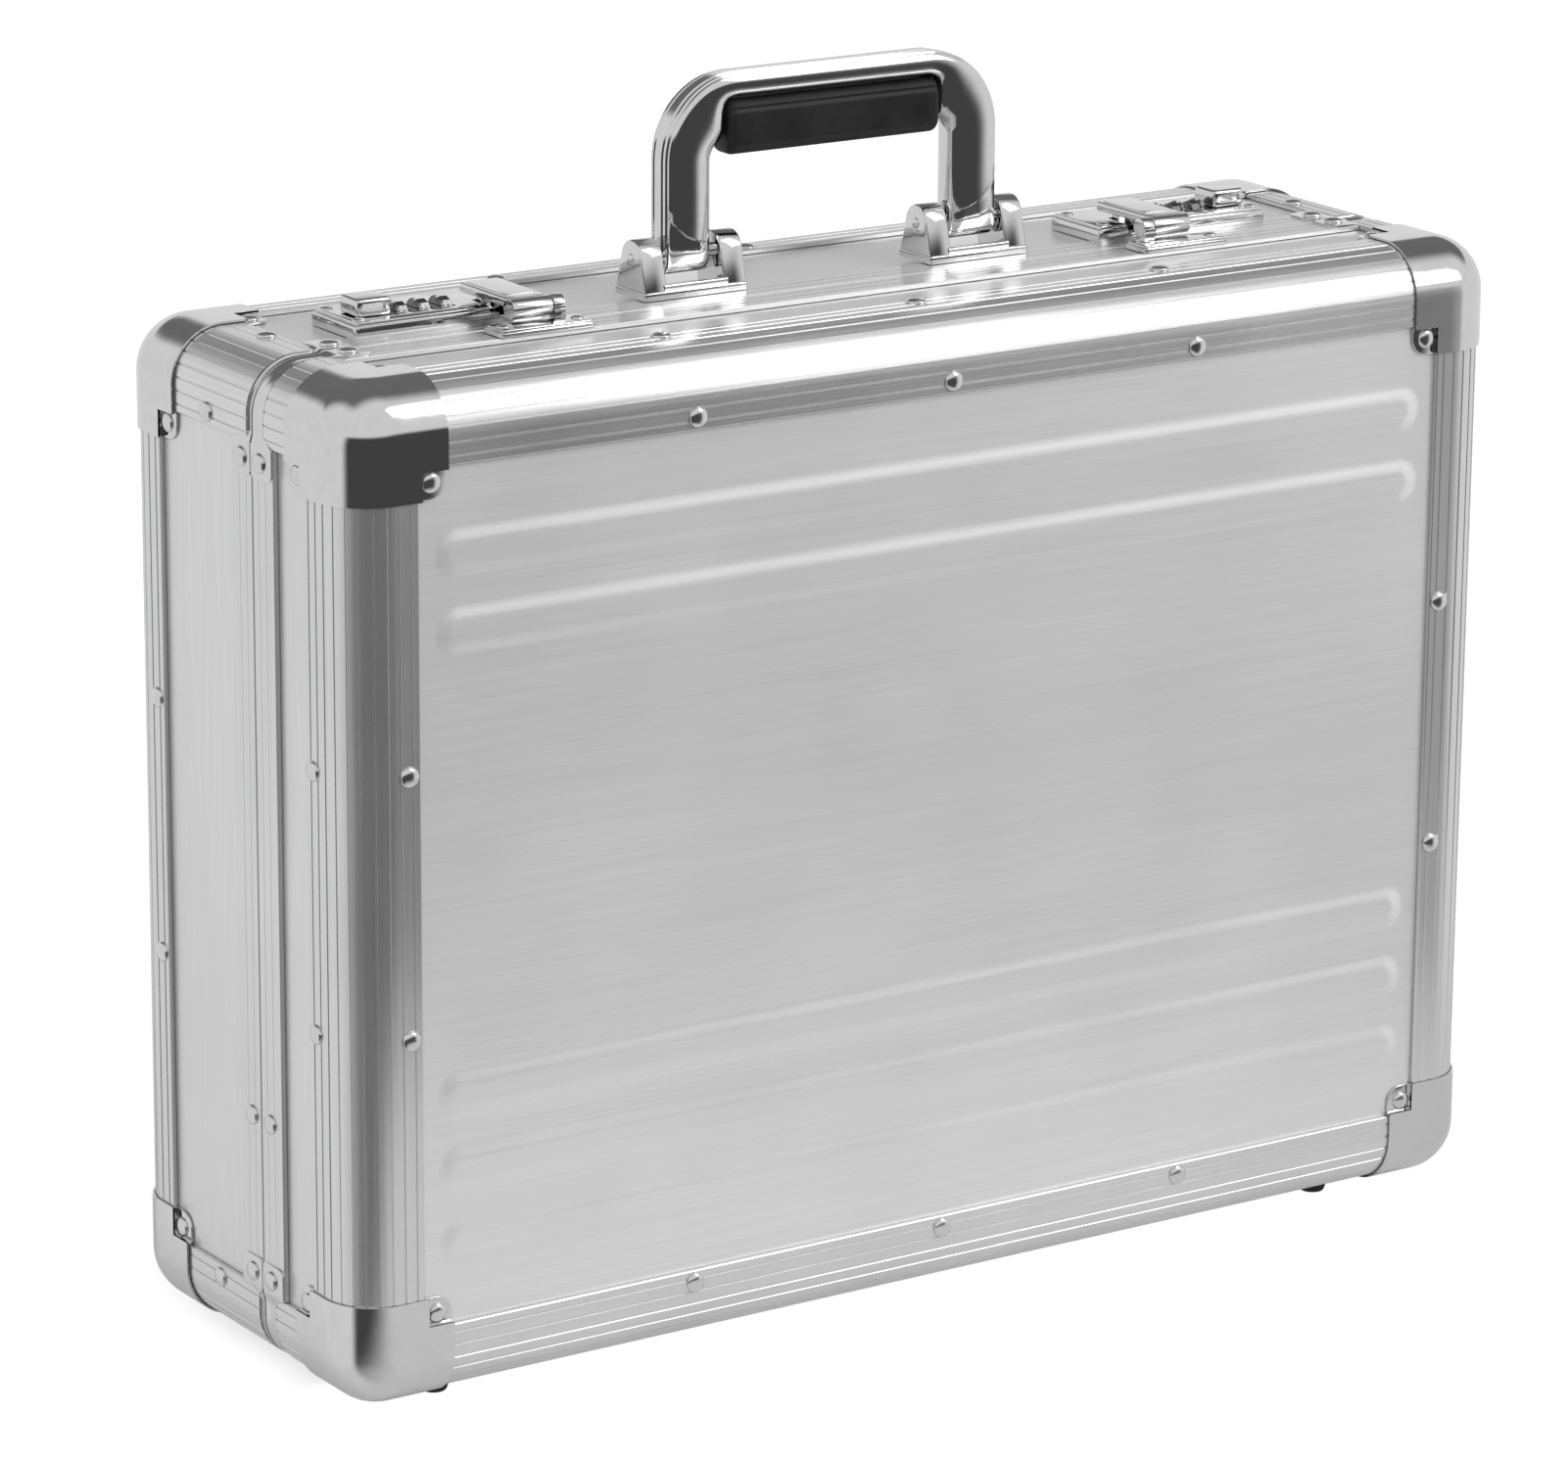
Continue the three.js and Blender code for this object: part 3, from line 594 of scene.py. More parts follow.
def edge_extrusion(shell):
    profile = extrusion_profile()
    rings = around_case(lambda _: profile, outline_stations(14), shell.inward)
    shell.add_extrusion("edge_extrusion", loft(rings, closed=True), "edge_frame")


def corner_extrusion(shell, side_x, side_z, where):
    """A grooved bar along one of the long corners, from under the cap to the rim."""
    profile = extrusion_profile()
    rings = []
    for y in (shell.inward(EDGE_FLANGE + GAP), shell.away(shell.corner_end + GAP)):
        points = [near_corner(side_x, side_z, a, b) for a, b in profile]
        rings.append([Vector((x, y, z)) for x, z in points])
    shell.add_extrusion(f"corner_extrusion_{where}", loft(rings), f"corner_bar_{where}")


def rim_profile(shell, in_corner):
    """A rim's section: outer flange, web and inner flange, and the base's lip."""
    width = shell.corner_end if in_corner else RIM_WIDTH
    face = RIM_CORNER_FACE if in_corner else 0.0
    half = GAP / 2
    channel = BOARD_INSET + BOARD + GAP
    bead, groove, sunk, bevel, lip_bevel = mm(0.35, 0.25, 0.18, 0.3, 0.4)
    points = [(face + bead, half), (face, half + bead)]
    for share in (0.3, 0.62):
        middle = width * share
        points += [(face, middle - groove), (face + sunk, middle), (face, middle + groove)]
    points += [(face, width - bead), (face + bead, width), (face + WALL, width), (face + WALL, RIM_WEB),
               (channel, RIM_WEB), (channel, RIM_INNER_FLANGE), (RIM_DEPTH - bevel, RIM_INNER_FLANGE),
               (RIM_DEPTH, RIM_INNER_FLANGE - bevel)]
    if shell is LID:
        return points + [(RIM_DEPTH, half + bevel), (RIM_DEPTH - bevel, half)]
    return points + [(RIM_DEPTH, LIP_REACH), (LIP_FAR, LIP_REACH), (LIP_FAR, -LIP_REACH + lip_bevel),
                     (LIP_FAR - lip_bevel, -LIP_REACH), (LIP_NEAR + lip_bevel / 2, -LIP_REACH),
                     (LIP_NEAR, -LIP_REACH + lip_bevel), (LIP_NEAR, half)]


def rim_extrusion(shell):
    rings = around_case(partial(rim_profile, shell), outline_stations(14, (EDGE_FLANGE + GAP,)), shell.away)
    shell.add_extrusion("rim_extrusion", loft(rings, closed=True), "rim")


def lining(shell):
    """The cloth inside a shell: four walls that turn over softly into the bottom."""
    outer, inner = LINING_INSET, LINING_INSET + LINING
    far = abs(PARTING - shell.outer) - RIM_INNER_FLANGE - GAP
    centre = (EDGE_RADIUS, EDGE_RADIUS)
    path = arc(centre, EDGE_RADIUS - inner, 270, 180, 10) + [(inner, far), (outer, far)]
    path += arc(centre, EDGE_RADIUS - outer, 180, 270, 10)
    rings = around_case(lambda _: path, outline_stations(10), shell.inward)
    mesh = tidy(loft(rings, closed=True, seam_open=True))
    bmesh.ops.holes_fill(mesh, edges=[edge for edge in mesh.edges if edge.is_boundary], sides=0)
    shell.add("cloth_lining", mesh, CLOTH, "lining_fabric", "lining")


# ---- corner caps and rim clips


def cap_surface(a, b, proud):
    """Two distances along a face, from the case's corner, as a point on the rounded cap."""
    core = Vector((min(a, -EDGE_RADIUS), min(b, -EDGE_RADIUS), -EDGE_RADIUS))
    reach = Vector((max(a + EDGE_RADIUS, 0), max(b + EDGE_RADIUS, 0), EDGE_RADIUS + CAP_PROUD))
    return core + reach.normalized() * (EDGE_RADIUS + proud)


def turned(point, turn):
    """A point of a cap's top face, moved to one of its three faces."""
    return Vector([point[(i - turn) % 3] for i in range(3)])


def cap_shell_faces(mesh):
    """The L-shaped rounded sheet of each of a cap's three faces, inside and out."""
    edge = -(EDGE_FLANGE + CAP_PROUD)
    steps = [-CAP_REACH, -CAP_REACH + 0.3 * MM, edge, -(EDGE_RADIUS + 4 * MM)]
    for i in range(9):
        steps.append(-EDGE_RADIUS + (EDGE_RADIUS + CAP_PROUD) * tan(pi / 4 * i / 8))
    window = steps.index(edge)
    for turn in range(3):
        for proud in (CAP_PROUD, GAP):
            grid = [[mesh.verts.new(turned(cap_surface(a, b, proud), turn)) for b in steps] for a in steps]
            for i in range(len(steps) - 1):
                for j in range(len(steps) - 1):
                    if i < window and j < window:
                        continue
                    quad = (grid[i][j], grid[i + 1][j], grid[i + 1][j + 1], grid[i][j + 1])
                    mesh.faces.new(quad if proud == CAP_PROUD else quad[::-1])


def cap_tab(mesh, turn):
    """The low tab in a face's window, with its rounded free corner and the step up to the sheet."""
    known = set(mesh.verts)
    start = -(EDGE_FLANGE + CAP_PROUD) + 0.5 * MM
    end = -CAP_REACH
    free = arc((end + CAP_TAB_RADIUS, end + CAP_TAB_RADIUS), CAP_TAB_RADIUS, 180, 270, 8)
    low = -(BOARD_INSET - GAP)
    slab([(start, start), (end, start), *free, (start, end)], "Z", (low, low + CAP_SHEET), (0, 0.3), mesh)
    ledge = -(EDGE_FLANGE + GAP)
    step, height = (ledge - CAP_SHEET, ledge), (low, CAP_PROUD - 0.05 * MM)
    for first, second in (((end, ledge), step), (step, (end, ledge))):
        block(first, second, 0.05, "Z", height, into=mesh, steps=1)
    for vert in set(mesh.verts) - known:
        vert.co = turned(vert.co, turn)


def corner_cap(shell, side_x, side_z, where):
    mesh = bmesh.new()
    cap_shell_faces(mesh)
    bmesh.ops.remove_doubles(mesh, verts=mesh.verts, dist=1e-6)
    loose = [vert for vert in mesh.verts if not vert.link_faces]
    bmesh.ops.delete(mesh, geom=loose, context="VERTS")
    bmesh.ops.bridge_loops(mesh, edges=[edge for edge in mesh.edges if edge.is_boundary])
    for turn in range(3):
        cap_tab(mesh, turn)
    for vert in mesh.verts:
        x, z = near_corner(side_x, side_z, -vert.co.x, -vert.co.z)
        vert.co = (x, shell.outer + shell.side * vert.co.y, z)
    shell.add(f"cap_{where}", mesh, CAP_CHROME, "chrome", f"corner_cap_{where}")


def rim_clip(shell, index, where):
    """The chrome clip over a rim's corner: two riveted plates joined by a beaded neck."""
    near, far, neck = 0.45 * MM, RIM_WIDTH - 0.4 * MM, shell.corner_end - 0.4 * MM
    tip, round_end, neck_end, slope = mm(37.5, 3, 23.2, 4)
    insets = [tip - round_end * (1 - cos(pi / 2 * i / 8)) for i in range(9)]
    insets += mm(32, 29, 27.2, 26.4, 25.6, 24.8, 24, 23.2, 22)

    def width(inset, plate):
        if inset > tip - round_end:
            share = (inset - (tip - round_end)) / round_end
            trim = round_end * (1 - sqrt(max(1 - share * share, 0)))
            return near + trim * 0.4, far - trim
        return near, neck + (far - neck) * ease(plate)

    def section(inset):
        plate = min(max((inset - neck_end) / slope, 0), 1)      # 0 on the neck, 1 on the plates
        low, high = width(inset, plate)
        bead = 0.55 * MM * (1 - plate)
        face = -CLIP_PROUD + ease(1 - plate) * 0.9 * MM
        rounded = 0.1 * MM
        drops = ((0, rounded), (0.06, 0), (0.16, 0), (0.3, bead), (0.42, bead), (0.6, bead), (0.78, bead),
                 (0.88, 0), (0.95, 0), (1, rounded))
        points = [(face + drop, low + (high - low) * share) for share, drop in drops]
        back = face + CLIP_SHEET + bead
        return points + [(back, high), (back, low)]

    rings = around_case(section, corner_stations(index, insets, 18), shell.away)
    shell.add(f"rim_clip_{where}", loft(rings), CAP_CHROME, "chrome")


# ---- rivets and feet


def rivet_seats(shell):
    """(place, direction) of every rivet on a shell."""
    seats = []
    flange_y, cap_y = shell.inward(RIVET_INSET), shell.inward(CAP_RIVET_INSET)
    clip_y, bar_y = shell.away(CLIP_RIVET_DEPTH), shell.away(BAR_RIVET_DEPTH)
    tab = BOARD_INSET - GAP - CAP_SHEET

    def on_front(x, z, sunk=0.0):
        seats.append(((x, shell.inward(sunk), z), (0, shell.side, 0)))

    def on_end(side, y, z, sunk=0.0):
        seats.append(((side * (HALF_WIDTH - sunk), y, z), (side, 0, 0)))

    def on_cover(side, x, y, sunk=0.0):
        seats.append(((x, y, MIDDLE_Z + side * (HALF_HEIGHT - sunk)), (0, 0, side)))

    for side in (-1, 1):
        edge_x, edge_z = near_corner(side, side, RIVET_INSET)
        for x in LEVEL_RIVETS:
            on_front(x, edge_z)
            if side > 0 or shell is BASE:
                on_cover(side, x, flange_y)
        for z in UPRIGHT_RIVETS:
            on_front(edge_x, MIDDLE_Z + z)
            on_end(side, flange_y, MIDDLE_Z + z)
        on_end(side, clip_y, joints["left_stay_base_pivot"].z)
    for side_x, side_z, _ in CORNERS:
        x, z = near_corner(side_x, side_z, CAP_RIVET_INSET)
        on_front(x, z, tab)
        on_end(side_x, cap_y, z, tab)
        on_cover(side_z, x, cap_y, tab)
        x, z = near_corner(side_x, side_z, CLIP_RIVET_INSET)
        on_end(side_x, clip_y, z, -CLIP_PROUD)
        on_cover(side_z, x, clip_y, -CLIP_PROUD)
        if shell is BASE:
            x, z = near_corner(side_x, side_z, RIVET_INSET)
            on_end(side_x, bar_y, z)
            on_cover(side_z, x, bar_y)
    return seats


def rivets(shell):
    mesh = bmesh.new()
    for place, direction in rivet_seats(shell):
        dome(place, direction, RIVET_RADIUS, RIVET_RISE, mesh)
    shell.add("rivets", mesh, RIVET_STEEL, "chrome")


def foot(shell, where):
    low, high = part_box(f"{shell.name}_foot_{where}")
    centre = ((low.x + high.x) / 2, (low.y + high.y) / 2)
    profile = [(3.4, 0), (4.1, 0.15), (4.5, 0.7), (5.6, 4.2), (6.7, 7), (7, 7.6), (6.8, 7.95), (3, 7.95)]
    levels = [(radius, height / 8 * BOTTOM) for radius, height in profile]
    levels.append((3, BOTTOM + BOARD_INSET - GAP))
    rings = [level(circle(centre, radius * MM, 40), "Z", z) for radius, z in levels]
    shell.add(f"rubber_foot_{where}", loft(rings), RUBBER, "foot_rubber", f"foot_{where}")


# ---- handle

PIVOT = joints["handle_swing"]
HANDLE_LOW, HANDLE_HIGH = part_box("handle_frame")
HANDLE_TOP = HANDLE_HIGH.z
HANDLE_THICK = (HANDLE_HIGH.y - HANDLE_LOW.y) / 2
HANDLE_OUTER = -HANDLE_HIGH.x
HANDLE_INNER = HANDLE_OUTER + 19 * MM
HANDLE_RADIUS, HANDLE_BAR = mm(28, 8.7)
SCOOP_LOW, SCOOP_TOP, LEG_TOP, SHOULDER_Z = [TOP + height for height in mm(16.5, 31, 43.5, 46)]


def handle_section(width, scooped):
    """Half a section of the handle, front side, from its outer edge to its inner one: (u, y)."""
    face, most = (0.86, 0.86) if scooped else (0.97, 1.0)
    edge = ((0, 0), (0, 0.3), (0.55, 0.36), (0.55, 0.42), (0.15, 0.48), (0.15, 0.66), (0.8, 0.72),
            (0.8, 0.78), (0.9, 0.84), (1.7, 0.93 * face / 0.97), (2.6, face))
    points = [(u * MM, level * HANDLE_THICK) for u, level in edge]
    for share, level in ((0.40, 1.0), (0.55, 1.0), (0.68, 0.975), (0.80, 0.90), (0.89, 0.76), (0.955, 0.55),
                         (0.99, 0.28), (1, 0)):
        points.append((max(width * share, 2.8 * MM), min(level, most) * HANDLE_THICK))
    return points


def handle_ring(outer, inner, scooped=False, squeeze=1.0, lift=None):
    """A whole section between two points of the XZ outline. lift moves points by their share across."""
    across = inner - outer
    width = across.length
    half = handle_section(width, scooped)
    ring = []
    for side, points in ((-1, half), (1, half[-2:0:-1])):
        for u, y in points:
            p = outer + across * (u / width)
            z = p.y if lift is None else lift(u / width)
            ring.append(Vector((p.x, PIVOT.y + side * y * squeeze, z)))
    return ring


def leg_ring(z, scooped, squeeze=1.0, lift=None):
    return handle_ring(Vector((HANDLE_OUTER, z)), Vector((HANDLE_INNER, z)), scooped, squeeze, lift)


def scoop(share):
    """Height at which the leg's front face steps forward, by the share across it."""
    return SCOOP_TOP - (SCOOP_TOP - SCOOP_LOW) * sqrt(max(1 - (1 - share) ** 2, 0))


def between(low, high, step):
    """Moves a section's points to a step between two heights, each a function of the share across."""
    return lambda share: low(share) + (high(share) - low(share)) * step


def shoulder_point(share, bar_start):
    """The handle's inner outline, from the leg past the shoulder to the bar, as a smooth path."""
    bar = HANDLE_TOP - HANDLE_BAR
    path = [(HANDLE_INNER + u * MM, z) for u, z in (
        (0, SHOULDER_Z - 1 * MM), (1.2, SHOULDER_Z + 1.5 * MM), (3.6, SHOULDER_Z + 3.4 * MM),
        (5, SHOULDER_Z + 5.6 * MM), (5, bar - 3 * MM), (6, bar - 0.8 * MM))] + [(bar_start, bar)]
    place = share * (len(path) - 1)
    index = min(int(place), len(path) - 2)
    return Vector(path[index]).lerp(Vector(path[index + 1]), place - index)


def handle_rings():
    """Sections from the left leg's lower end to the middle of the bar."""
    rings = []
    for angle in (80, 65, 50, 35, 18, 0):
        turn = radians(angle)
        rings.append(leg_ring(PIVOT.z - HANDLE_THICK * sin(turn), True, cos(turn)))
    for step in (0.35, 0.7, 1.0):
        rings.append(leg_ring(PIVOT.z, True, lift=between(lambda _: PIVOT.z, scoop, step)))
    for step in (0.0, 0.3, 0.6, 1.0):
        rings.append(leg_ring(PIVOT.z, False,
                              lift=between(lambda share: scoop(share) + 0.7 * MM, lambda _: LEG_TOP, step)))
    centre = Vector((HANDLE_OUTER + HANDLE_RADIUS, HANDLE_TOP - HANDLE_RADIUS))
    steps = 16
    for i in range(steps + 1):
        angle = radians(180 - 90 * i / steps)
        outer = centre + HANDLE_RADIUS * Vector((cos(angle), sin(angle)))
        rings.append(handle_ring(outer, shoulder_point(i / steps, centre.x)))
    middle = centre.x / 2
    rings.append(handle_ring(Vector((middle, HANDLE_TOP)), Vector((middle, HANDLE_TOP - HANDLE_BAR))))
    return rings


def handle_frame():
    rings = handle_rings()
    for ring in reversed(handle_rings()):
        rings.append([Vector((-p.x, p.y, p.z)) for p in ring])
    add_piece("handle_chrome_frame", loft(rings), CHROME, "handle", ["handle_frame"])


def handle_grip():
    """A padded leather grip with a seam groove along each side, under the bar."""
    low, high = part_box("handle_grip")
    middle = Vector(((low.y + high.y) / 2, (low.z + high.z) / 2))
    half = Vector((high.y, high.z)) - middle
    seam_z = high.z - 3.2 * MM
    seam_depth, seam_width, seam_beyond, step, end = mm(0.75, 0.42, 4.5, 0.45, 2.6)
    outline = [Vector(point) for point in round_rect((low.y, high.y), (low.z, high.z), 4.6 * MM, 9)]
    section = []
    for point, after in zip(outline, outline[1:] + outline[:1]):
        pieces = max(1, int((after - point).length / step))
        for k in range(pieces):
            y, z = point.lerp(after, k / pieces)
            if abs(y - middle.x) > seam_beyond:
                y -= copysign(seam_depth * exp(-((z - seam_z) / seam_width) ** 2), y - middle.x)
            section.append(Vector((y, z)) - middle)
    stops = [(end * (1 - cos(a)), end * (1 - sin(a))) for a in (0, 0.25, 0.55, 0.9, 1.25, pi / 2)]
    length = high.x - low.x
    stops += [(length * share, 0.0) for share in (0.1, 0.3, 0.5, 0.7, 0.9)]
    stops += [(length - along, inset) for along, inset in reversed(stops[:6])]
    rings = []
    for along, inset in stops:
        size = Vector((1 - inset / half.x, 1 - inset / half.y))
        rings.append(level([middle + p * size for p in section], "X", low.x + along))
    add_piece("handle_leather_grip", loft(rings), LEATHER, "handle", ["handle_grip"])


def ear_outline(centre_y, foot_half, low, radius):
    """An ear seen from its end: a wide foot, sides that lean in and a round top."""
    lean = degrees(asin(min(1.0, (foot_half - radius) / (PIVOT.z - low)))) * 0.6
    bevel, taper, waist = mm(0.6, 0.25, 3.2)
    points = [(centre_y - foot_half + bevel, low), (centre_y + foot_half - bevel, low),
              (centre_y + foot_half, low + bevel), (centre_y + foot_half - taper, low + waist)]
    points += arc((centre_y, PIVOT.z), radius, lean, 180 - lean, 18)
    return points + [(centre_y - foot_half + taper, low + waist), (centre_y - foot_half, low + bevel)]


def handle_bracket(side):
    low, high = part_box("right_handle_bracket")
    ear = 8.8 * MM
    seat = TOP + GAP
    floor_top = TOP + 4.5 * MM
    outline = ear_outline((high.y + low.y) / 2, (high.y - low.y) / 2, seat, high.z - PIVOT.z)
    mesh = slab(outline, "X", (low.x, low.x + ear), (0.9, 0.9))
    slab(outline, "X", (high.x - ear, high.x), (0.9, 0.9), mesh)
    inside = within(low.x + ear, high.x - ear, -1.2)
    block(within(low.y, high.y, 0.35), (seat, floor_top), 0.7, "X", inside, into=mesh)
    block(within(low.y, low.y, 0.1, -2.6), (seat, floor_top + 0.5 * MM), 0.6, "X", inside, into=mesh)
    block(within(low.x, high.x, -0.35), within(low.y, high.y, -0.35), 1, "Z", within(seat, seat, 0, -2.6),
          (0, 0.5), mesh)
    for x, facing in zip(within(low.x, high.x, 0.1), (-1, 1)):
        dome((x, PIVOT.y, PIVOT.z), (facing, 0, 0), 1.9 * MM, 0.8 * MM, mesh)
    slab(circle((PIVOT.y, PIVOT.z), 2.5 * MM, 28), "X", within(low.x, high.x, 2), into=mesh)
    add_sided(side, "handle_clevis", mesh, "base", "handle_bracket")


# ---- locks, built for +X and mirrored

AXLE = joints["right_dial_1_spin"]
BARREL = joints["right_hasp_hinge"]
BARREL_RADIUS = 3.4 * MM
DIALS = (1, 2, 3)
DIAL_FLATS = 10
DRUM_RADIUS = 4.45 * MM


def middle_x(node):
    low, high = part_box(node)
    return (low.x + high.x) / 2


def lock_plate(side):
    low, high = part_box("right_lock_plate")
    seat = TOP - BOARD_INSET + GAP
    outline = round_rect((low.x, high.x), (low.y, high.y), 1.6 * MM)
    step = TOP + 2.9 * MM
    levels = [(0.0, seat), (0.0, step - 0.5 * MM), (0.15, step - 0.15 * MM), (0.5, step), (1.1, step),
              (1.1, high.z - 0.4 * MM), (1.25, high.z - 0.12 * MM), (1.5, high.z)]
    mesh = loft([level(shrink(outline, inset * MM), "Z", z) for inset, z in levels])
    deep = within(seat, high.z, -1)
    boxes = [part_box(f"right_lock_dial_{index}") for index in DIALS]
    cutters = [block(within(box[0].x, box[1].x, -0.4), about(AXLE.y, 5.4), 0.5, "Z", deep) for box in boxes]
    button = middle_x("right_lock_slider")
    cutters.append(block(within(button, button, -3.4, -7.4), about(AXLE.y, 3.4), 0.5, "Z", deep))
    cutters.append(block(about(middle_x("right_hasp"), 4.5), within(low.y, BARREL.y, -2, -29), 0.5, "Z",
                         within(TOP, high.z, 0.8, -1)))
    mesh = cut_away(mesh, cutters)
    slab(circle((AXLE.y, AXLE.z), 1.2 * MM, 20), "X", within(boxes[2][0].x, boxes[0][1].x, -2), into=mesh)
    for x in within(low.x, high.x, 4.2, 3.6):
        for y in within(low.y, high.y, 4.2):
            dome((x, y, high.z), (0, 0, 1), 2.3 * MM, 0.8 * MM, mesh)
    add_sided(side, "lock_body", mesh, "base", "lock_plate")


def axle_ring(x, radii, start=0.0):
    """A ring of points round the dial axle, with a radius for each."""
    ring = []
    for i, radius in enumerate(radii):
        angle = radians(start) + 2 * pi * i / len(radii)
        ring.append(Vector((x, AXLE.y + radius * cos(angle), AXLE.z + radius * sin(angle))))
    return ring


def lock_dial(side, index):
    """A number wheel: a drum with ten flats and a toothed flange."""
    low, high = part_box(f"right_lock_dial_{index}")
    mesh = bmesh.new()
    teeth, tooth = 20, 0.55
    rings = []
    flange = ((1.5, 4.3, 0), (1.4, 4.95, tooth), (0.25, 4.95, tooth), (0, 4.6, tooth), (0, 2.2, 0))
    for x, radius, sink in flange:
        tip, root = radius * MM, (radius - sink) * MM
        rings.append(axle_ring(high.x - x * MM, [tip, tip, root, root] * teeth))
    loft(rings, into=mesh)
    drum = ((low.x, 4.1 * MM), (low.x + 0.3 * MM, DRUM_RADIUS), (high.x - 1.45 * MM, DRUM_RADIUS))
    loft([axle_ring(x, [radius] * DIAL_FLATS, 18) for x, radius in drum], into=mesh)
    body = f"{SIDES[side]}_dial_{index}"
    add_sided(side, f"number_wheel_{index}", mesh, body, f"lock_dial_{index}", DIAL_METAL)
    digits = dial_digits(side * (low.x + high.x - 1.2 * MM) / 2)
    add_piece(f"{SIDES[side]}_wheel_digits_{index}", digits, DIGITS, body)


def dial_digits(x):
    """The ten painted digits round a number wheel."""
    flat = DRUM_RADIUS * cos(pi / DIAL_FLATS)
    mesh = bmesh.new()
    for digit in range(DIAL_FLATS):
        curve = configure(bpy.data.curves.new("digit", "FONT"), body=str(digit), size=2.9 * MM,
                          align_x="CENTER", align_y="CENTER", extrude=0.04 * MM, resolution_u=3)
        text = add_object("digit", curve)
        bpy.context.view_layer.update()
        outline = text.evaluated_get(bpy.context.evaluated_depsgraph_get()).to_mesh()
        turn = Matrix.Rotation(-2 * pi / DIAL_FLATS * digit, 4, "X")
        centre = Matrix.Translation((x, AXLE.y, AXLE.z))
        outline.transform(centre @ turn @ Matrix.Translation((0, 0, flat)))
        mesh.from_mesh(outline)
        text.to_mesh_clear()
        bpy.data.objects.remove(text)
        bpy.data.curves.remove(curve)
    return mesh


def lock_slider(side):
    """The release button: a rounded block with a scooped front and the stem under it."""
    low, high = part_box("right_lock_slider")
    seat = TOP + 4.3 * MM
    front, back = about(AXLE.y, 6)
    mesh = block((low.x, high.x), (front, back), 1.4, "Z", (seat, high.z), (0.3, 1.1))
    mesh = cut_away(mesh, [block(within(low.x, high.x, 2.4, 1.9), within(seat, high.z, 1.5, 1.7), 0.6,
                                 "Y", within(front, front, -1, -0.9))])
    block(about(middle_x("right_lock_slider"), 3), about(AXLE.y, 3), 0.5, "Z", within(TOP, seat, -3.3, -1),
          into=mesh)
    add_sided(side, "release_button", mesh, f"{SIDES[side]}_slider", "lock_slider")


def hasp(side):
    """The strap with its barrel, and the tongue that the lock catches."""
    low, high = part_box("right_hasp")
    y = BARREL.y
    mesh = block((low.x, high.x), (y + 0.6 * MM, high.y), 1.2, "Z", (high.z - 3 * MM, high.z), (0.3, 0.7))
    block(within(low.x, high.x, 1.6), within(y, high.y, 5.5, 1.6), 0.8, "Z",
          within(high.z, high.z, -0.6, -0.25), (0, 0.25), mesh)
    slab(circle((y, BARREL.z), BARREL_RADIUS, 40), "X", (low.x, high.x), (0.4, 0.15), mesh)
    block(about(middle_x("right_hasp"), 3.5), within(y, y, 24, -28), 0.5, "Z", within(low.z, high.z, 0, 1),
          (0.4, 0), mesh)
    add_sided(side, "hasp_strap", mesh, f"{SIDES[side]}_hasp", "hasp")


def hasp_plate(side):
    """The keeper plate on the lid, with the fixed end of the barrel and two rivets."""
    low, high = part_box("right_hasp_plate")
    front = BARREL.y - 12.3 * MM
    outline = round_rect((low.x, high.x), (front, BARREL.y), 1.8 * MM)
    mesh = slab(outline, "Z", (TOP + GAP, TOP + 1.8 * MM), (0, 0.4))
    slab(shrink(outline, 0.9 * MM), "Z", within(TOP, TOP, 1, -2.6), (0, 0.5), mesh)
    knuckle_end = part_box("right_hasp")[0].x - GAP
    knuckle = (knuckle_end - 4.4 * MM, knuckle_end)
    slab(circle((BARREL.y, BARREL.z), BARREL_RADIUS, 40), "X", knuckle, (0.4, 0.15), mesh)
    block((BARREL.y - BARREL_RADIUS, BARREL.y - 0.2 * MM), (TOP + 1 * MM, BARREL.z), 0.3, "X",
          within(*knuckle, 0.2, 0.1), into=mesh)
    for x in within(low.x, high.x, 4):
        dome((x, front + 6 * MM, TOP + 2.6 * MM), (0, 0, 1), 2.2 * MM, 0.8 * MM, mesh)
    add_sided(side, "keeper_plate", mesh, "lid", "hasp_plate")


# ---- CAD pieces that stay, with softened edges


def soften(node, material, bevel):
    """A CAD node in its final material, with its edges slightly rounded."""
    piece = frame["nodes"][node]
    data = piece.data
    data.materials.clear()
    data.materials.append(material)
    if "custom_normal" in data.attributes:
        data.attributes.remove(data.attributes["custom_normal"])
    data.shade_flat()
    configure(piece.modifiers.new("weld", "WELD"), merge_threshold=1e-6)
    configure(piece.modifiers.new("edges", "BEVEL"), width=bevel, segments=2, limit_method="ANGLE",
              angle_limit=radians(40))


def soften_kept_nodes():
    for shell in (LID, BASE):
        for wall in ("top", "bottom", "left", "right"):
            soften(f"{shell.name}_{wall}_wall", BOARD_METAL, 0.2 * MM)
        soften(f"{shell.name}_hinge_leaf", RIVET_STEEL, 0.15 * MM)
        for where in SIDES.values():
            soften(f"{where}_stay_{shell.name}_arm", CHROME, 0.2 * MM)


# ---- stage, light and camera

CAMERA_AZIMUTH = radians(-33.8)
CAMERA_ELEVATION = radians(16.09)
CAMERA_ROLL = radians(0.51)
CAMERA_PLACE = Vector((-1.2433, -1.856, 0.8226))
TENT_LEVEL = 0.84
TENT_LOWEST = 0.05
DARK_SIDE = Vector((-0.254, -0.946, -0.203)).normalized()
FLOOR_SIZE = 6.0
FLOOR_GREY = 0.8
FLOOR_GLOW = 0.6
OPENING_BESIDE = 0.28
OPENING_FADE = 0.05


